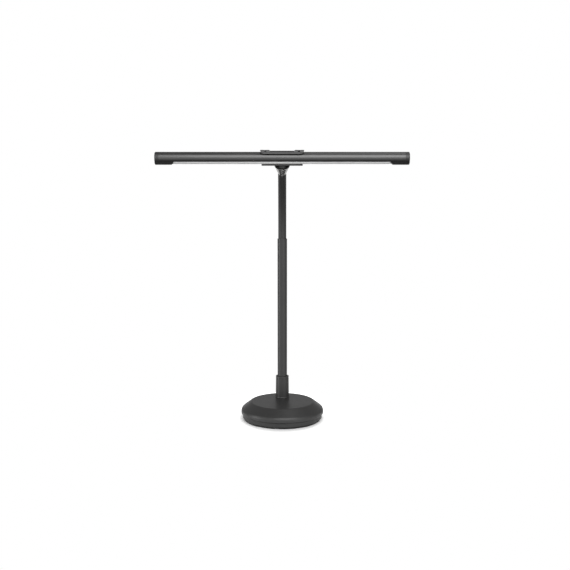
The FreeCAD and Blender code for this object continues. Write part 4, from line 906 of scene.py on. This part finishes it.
# %% Diffuser
TONGUE, SLANT_DROP, SLANT_RUN = 169.4, 5.3, 5.2
PANE_GAP, LEG_WIDTH = 0.1, 1.2
slant_normal = Vector((SLANT_DROP, 0, SLANT_RUN)).normalized()


def leg(y):
    """One of the two strips that stand up from the diffuser inside the housing."""
    far = y + LEG_WIDTH
    return block([(y, -6.7), (far, -6.7), (far, -3.5), (y, -3.5)], -PANE_HALF, PANE_HALF)


pane = cut(rod(BAR, -PANE_HALF, PANE_HALF, "x", 160), rod(8.2, -PANE_HALF - 1, PANE_HALF + 1, "x", 160))
pane = trimmed(pane, (0, 0, WINDOW), (0, 0, 1))
pane = joined(pane, leg(-5.72), leg(4.52))
for side in (-1, 1):
    start = side * (TONGUE - PANE_GAP)
    pane = trimmed(pane, (start, 0, WINDOW), (side * slant_normal.x, 0, slant_normal.z))
finish_piece(pane, "opal_pane", "opal_diffuser", "light_bar", ["diffuser"], at_bar, edge=0.1)


# %% End caps
CHIN_DROP, CAP_ROUND = 1.3, 1.5


def end_rim(shape):
    """The edges round the very end of the bar."""
    return [
        edge
        for edge in shape.edges
        if all(abs(vert.co.x - END * MM) < TOUCHING for vert in edge.verts)
    ]


def end_cap():
    """The right end cap, at the light bar's frame."""
    disc = rod(BAR, HALF, END, "x", 160)
    chin = moved(rod(BAR, TONGUE - 2, END, "x", 160), z=-CHIN_DROP)
    for shape in (disc, chin):
        rounded(shape, end_rim(shape), CAP_ROUND, 6)
    chin = trimmed(chin, (0, 0, WINDOW), (0, 0, 1))
    chin = trimmed(chin, (TONGUE, 0, WINDOW), (-slant_normal.x, 0, -slant_normal.z))
    plug = cut(rod(8.2, HALF - 6, HALF + 0.5, "x", 96), rod(6.6, HALF - 7, HALF + 0.2, "x", 96))
    plug = trimmed(plug, (0, 0, WINDOW), (0, 0, -1))
    plug = cut(plug, block([(-9, -1.4), (9, -1.4), (9, 1.9), (-9, 1.9)], HALF - 7, HALF))
    return joined(disc, chin, plug)


right, left = end_cap(), mirrored(end_cap())
finish_piece(right, "right_end", "head_plastic", "light_bar", ["end_cap_right"], at_bar, edge=0.2)
finish_piece(left, "left_end", "head_plastic", "light_bar", ["end_cap_left"], at_bar, edge=0.2)

# %% [markdown]
# ## What stays as it was built
#
# The pieces inside and the inlet keep their solids, because their shapes are already right. They only
# need their finishes.

# %% Finishes for the solids that stay
for entry in frame["record"]["subparts"]:
    node = frame["nodes"][entry["node"]]
    node.data.materials.clear()
    node.data.materials.append(finishes[entry["material_slot"]].material)

# %% [markdown]
# ## The studio
#
# A black object is drawn by what it reflects, so the room matters more than the lamps. It is bright in
# front, where the viewer stands, dim behind, dimmer overhead and dark below. The camera itself sees
# plain white. Reflections see that white only low down straight behind the lamp, and on the floor there,
# because with white all round the flat top of the base turned grey.
#
# The table is a small round sheet of white paper that keeps the lamp's shadow. The paper also carries
# painted light: it shows the camera a glow of its own, almost none at the lamp and full well before the
# paper's edge, so that it ends in white and its edge can't be seen. Where the glow is left out, round the
# base, the paper stays grey: a painted shade under the lamp, added to its real shadow. That glow grows in
# an oval, a little sooner to the sides than to the front, so the painted shade reaches further in front
# than to the sides, and reflections see a small share of it. From below the paper is clear, so that the
# lamp's underside can be looked at.

# %% Nodes of the studio
def studio_node(tree, kind, values=(), output=0, **settings):
    made = tree.nodes.new("ShaderNode" + kind)
    for name, setting in settings.items():
        setattr(made, name, setting)
    for name, value in dict(values).items():
        if isinstance(value, bpy.types.NodeSocket):
            tree.links.new(value, made.inputs[name])
        else:
            made.inputs[name].default_value = value
    return made.outputs[output]


def ramp(tree, value, low, high, start=0.0, end=1.0):
    """Rises smoothly from start to end while the value goes from low to high."""
    values = {"Value": value, "From Min": low, "From Max": high, "To Min": start, "To Max": end}
    return studio_node(tree, "MapRange", values, interpolation_type="SMOOTHSTEP")


def seen_directly(tree, mirrored_as):
    """1 for a ray from the camera, and a share for one that comes by a reflection or through glass."""
    direct = studio_node(tree, "LightPath", output="Is Camera Ray")
    glossy = studio_node(tree, "LightPath", output="Is Glossy Ray")
    through = studio_node(tree, "LightPath", output="Is Transmission Ray")
    indirect = studio_node(tree, "Math", {0: glossy, 1: through}, operation="ADD")
    return studio_node(tree, "Math", {0: indirect, 1: mirrored_as, 2: direct}, operation="MULTIPLY_ADD")


# %% Table
TABLE = 0.17
# The painted glow on the paper starts at the first of these radii and is full at the second; inside the
# first the paper keeps a painted shade round the base.
PAINTED_GLOW_START, PAINTED_GLOW_FULL, PAINTED_GLOW_OVAL = 0.4 * TABLE, 0.62 * TABLE, (1.2, 1.0, 1.0)
MIRRORED_PAINTED_GLOW = 0.14
table_shape = bmesh.new()
bmesh.ops.create_circle(table_shape, cap_ends=True, segments=128, radius=TABLE)
table_mesh = bpy.data.meshes.new("table")
table_shape.to_mesh(table_mesh)
table_shape.free()
table = bpy.data.objects.new("table", table_mesh)
scene.collection.objects.link(table)

paper = bpy.data.materials.new("paper")
paper.use_nodes = True
paper_tree = paper.node_tree
paper_shader = paper_tree.nodes["Principled BSDF"]
paper_shader.inputs["Base Color"].default_value = (0.93, 0.93, 0.93, 1)
paper_shader.inputs["Roughness"].default_value = 1.0
paper_shader.inputs["Specular IOR Level"].default_value = 0.0
paper_shader.inputs["Emission Color"].default_value = (1, 1, 1, 1)
spot = studio_node(paper_tree, "TexCoord", output="Object")
oval = studio_node(paper_tree, "VectorMath", {0: spot, 1: PAINTED_GLOW_OVAL}, operation="MULTIPLY")
distance = studio_node(paper_tree, "VectorMath", {0: oval}, "Value", operation="LENGTH")
# Painted light: the glow is nil near the lamp, which leaves a painted shade on the paper round the base.
painted_glow = ramp(paper_tree, distance, PAINTED_GLOW_START, PAINTED_GLOW_FULL)
share = seen_directly(paper_tree, MIRRORED_PAINTED_GLOW)
painted_glow = studio_node(paper_tree, "Math", {0: share, 1: painted_glow}, operation="MULTIPLY")
paper_tree.links.new(painted_glow, paper_shader.inputs["Emission Strength"])
underneath = studio_node(paper_tree, "NewGeometry", output="Backfacing")
clear = studio_node(paper_tree, "BsdfTransparent")
sheet = studio_node(paper_tree, "MixShader", {0: underneath, 1: paper_shader.outputs["BSDF"], 2: clear})
paper_tree.links.new(sheet, paper_tree.nodes["Material Output"].inputs["Surface"])
table_mesh.materials.append(paper)

# %% Room
FRONT, OVERHEAD, BEHIND, BELOW = 1.10, 0.26, 0.36, 0.08
# Each pair says where a change starts and where it is complete, as a part of a direction of length 1.
TO_FRONT, TO_OVERHEAD, TO_BELOW = (0.25, -0.6), (0.45, 0.95), (-0.25, -0.65)
STRAIGHT_BEHIND, LOW_DOWN = (0.90, 0.96), (0.20, 0.12)
FLOOR_NEAR, FLOOR_FAR, FLOOR_BEHIND = (-0.75, -0.55), (-0.18, -0.30), (0.2, 0.5)
world = bpy.data.worlds.new("studio")
scene.world = world
world.use_nodes = True
tree = world.node_tree
way = studio_node(tree, "TexCoord", output="Generated")
forward = studio_node(tree, "SeparateXYZ", {"Vector": way}, "Y")
upward = studio_node(tree, "SeparateXYZ", {"Vector": way}, "Z")
level = ramp(tree, forward, *TO_FRONT, BEHIND, FRONT)
above, below = ramp(tree, upward, *TO_OVERHEAD), ramp(tree, upward, *TO_BELOW)
level = studio_node(tree, "Mix", {0: above, 2: level, 3: OVERHEAD}, data_type="FLOAT")
level = studio_node(tree, "Mix", {0: below, 2: level, 3: BELOW}, data_type="FLOAT")
straight, low = ramp(tree, forward, *STRAIGHT_BEHIND), ramp(tree, upward, *LOW_DOWN)
backdrop = studio_node(tree, "Math", {0: straight, 1: low}, operation="MULTIPLY")
near, far = ramp(tree, upward, *FLOOR_NEAR), ramp(tree, upward, *FLOOR_FAR)
floor = studio_node(tree, "Math", {0: near, 1: far}, operation="MULTIPLY")
behind = ramp(tree, forward, *FLOOR_BEHIND)
floor = studio_node(tree, "Math", {0: floor, 1: behind}, operation="MULTIPLY")
backdrop = studio_node(tree, "Math", {0: backdrop, 1: floor}, operation="MAXIMUM")
white = seen_directly(tree, backdrop)
level = studio_node(tree, "Mix", {0: white, 2: level, 3: 1.0}, data_type="FLOAT")
tree.links.new(level, tree.nodes["Background"].inputs["Strength"])
tree.nodes["Background"].inputs["Color"].default_value = (1, 1, 1, 1)


# %% Lights
def soft_light(name, spot, target, width, height, radiance):
    """A rectangle of light. Its power follows from how bright it looks."""
    light = bpy.data.lights.new(name, "AREA")
    light.shape = "RECTANGLE"
    light.size, light.size_y = width, height
    light.energy = radiance * math.pi * width * height
    lamp = bpy.data.objects.new(name, light)
    lamp.location = spot
    lamp.rotation_euler = (Vector(target) - Vector(spot)).to_track_quat("-Z", "Y").to_euler()
    scene.collection.objects.link(lamp)
    print(name, round(light.energy, 1), "W")


soft_light("key", (0.25, -1.3, 1.35), (0, 0, 0.4), 1.3, 1.4, 3.3)
soft_light("left", (-1.7, -0.35, 0.35), (0, 0, 0.25), 0.45, 1.5, 4.5)
soft_light("right", (1.1, -1.4, 0.35), (0, 0, 0.25), 0.5, 1.5, 1.1)
soft_light("top", (0.35, 0.3, 1.9), (0, 0, 0.1), 0.9, 0.7, 1.2)
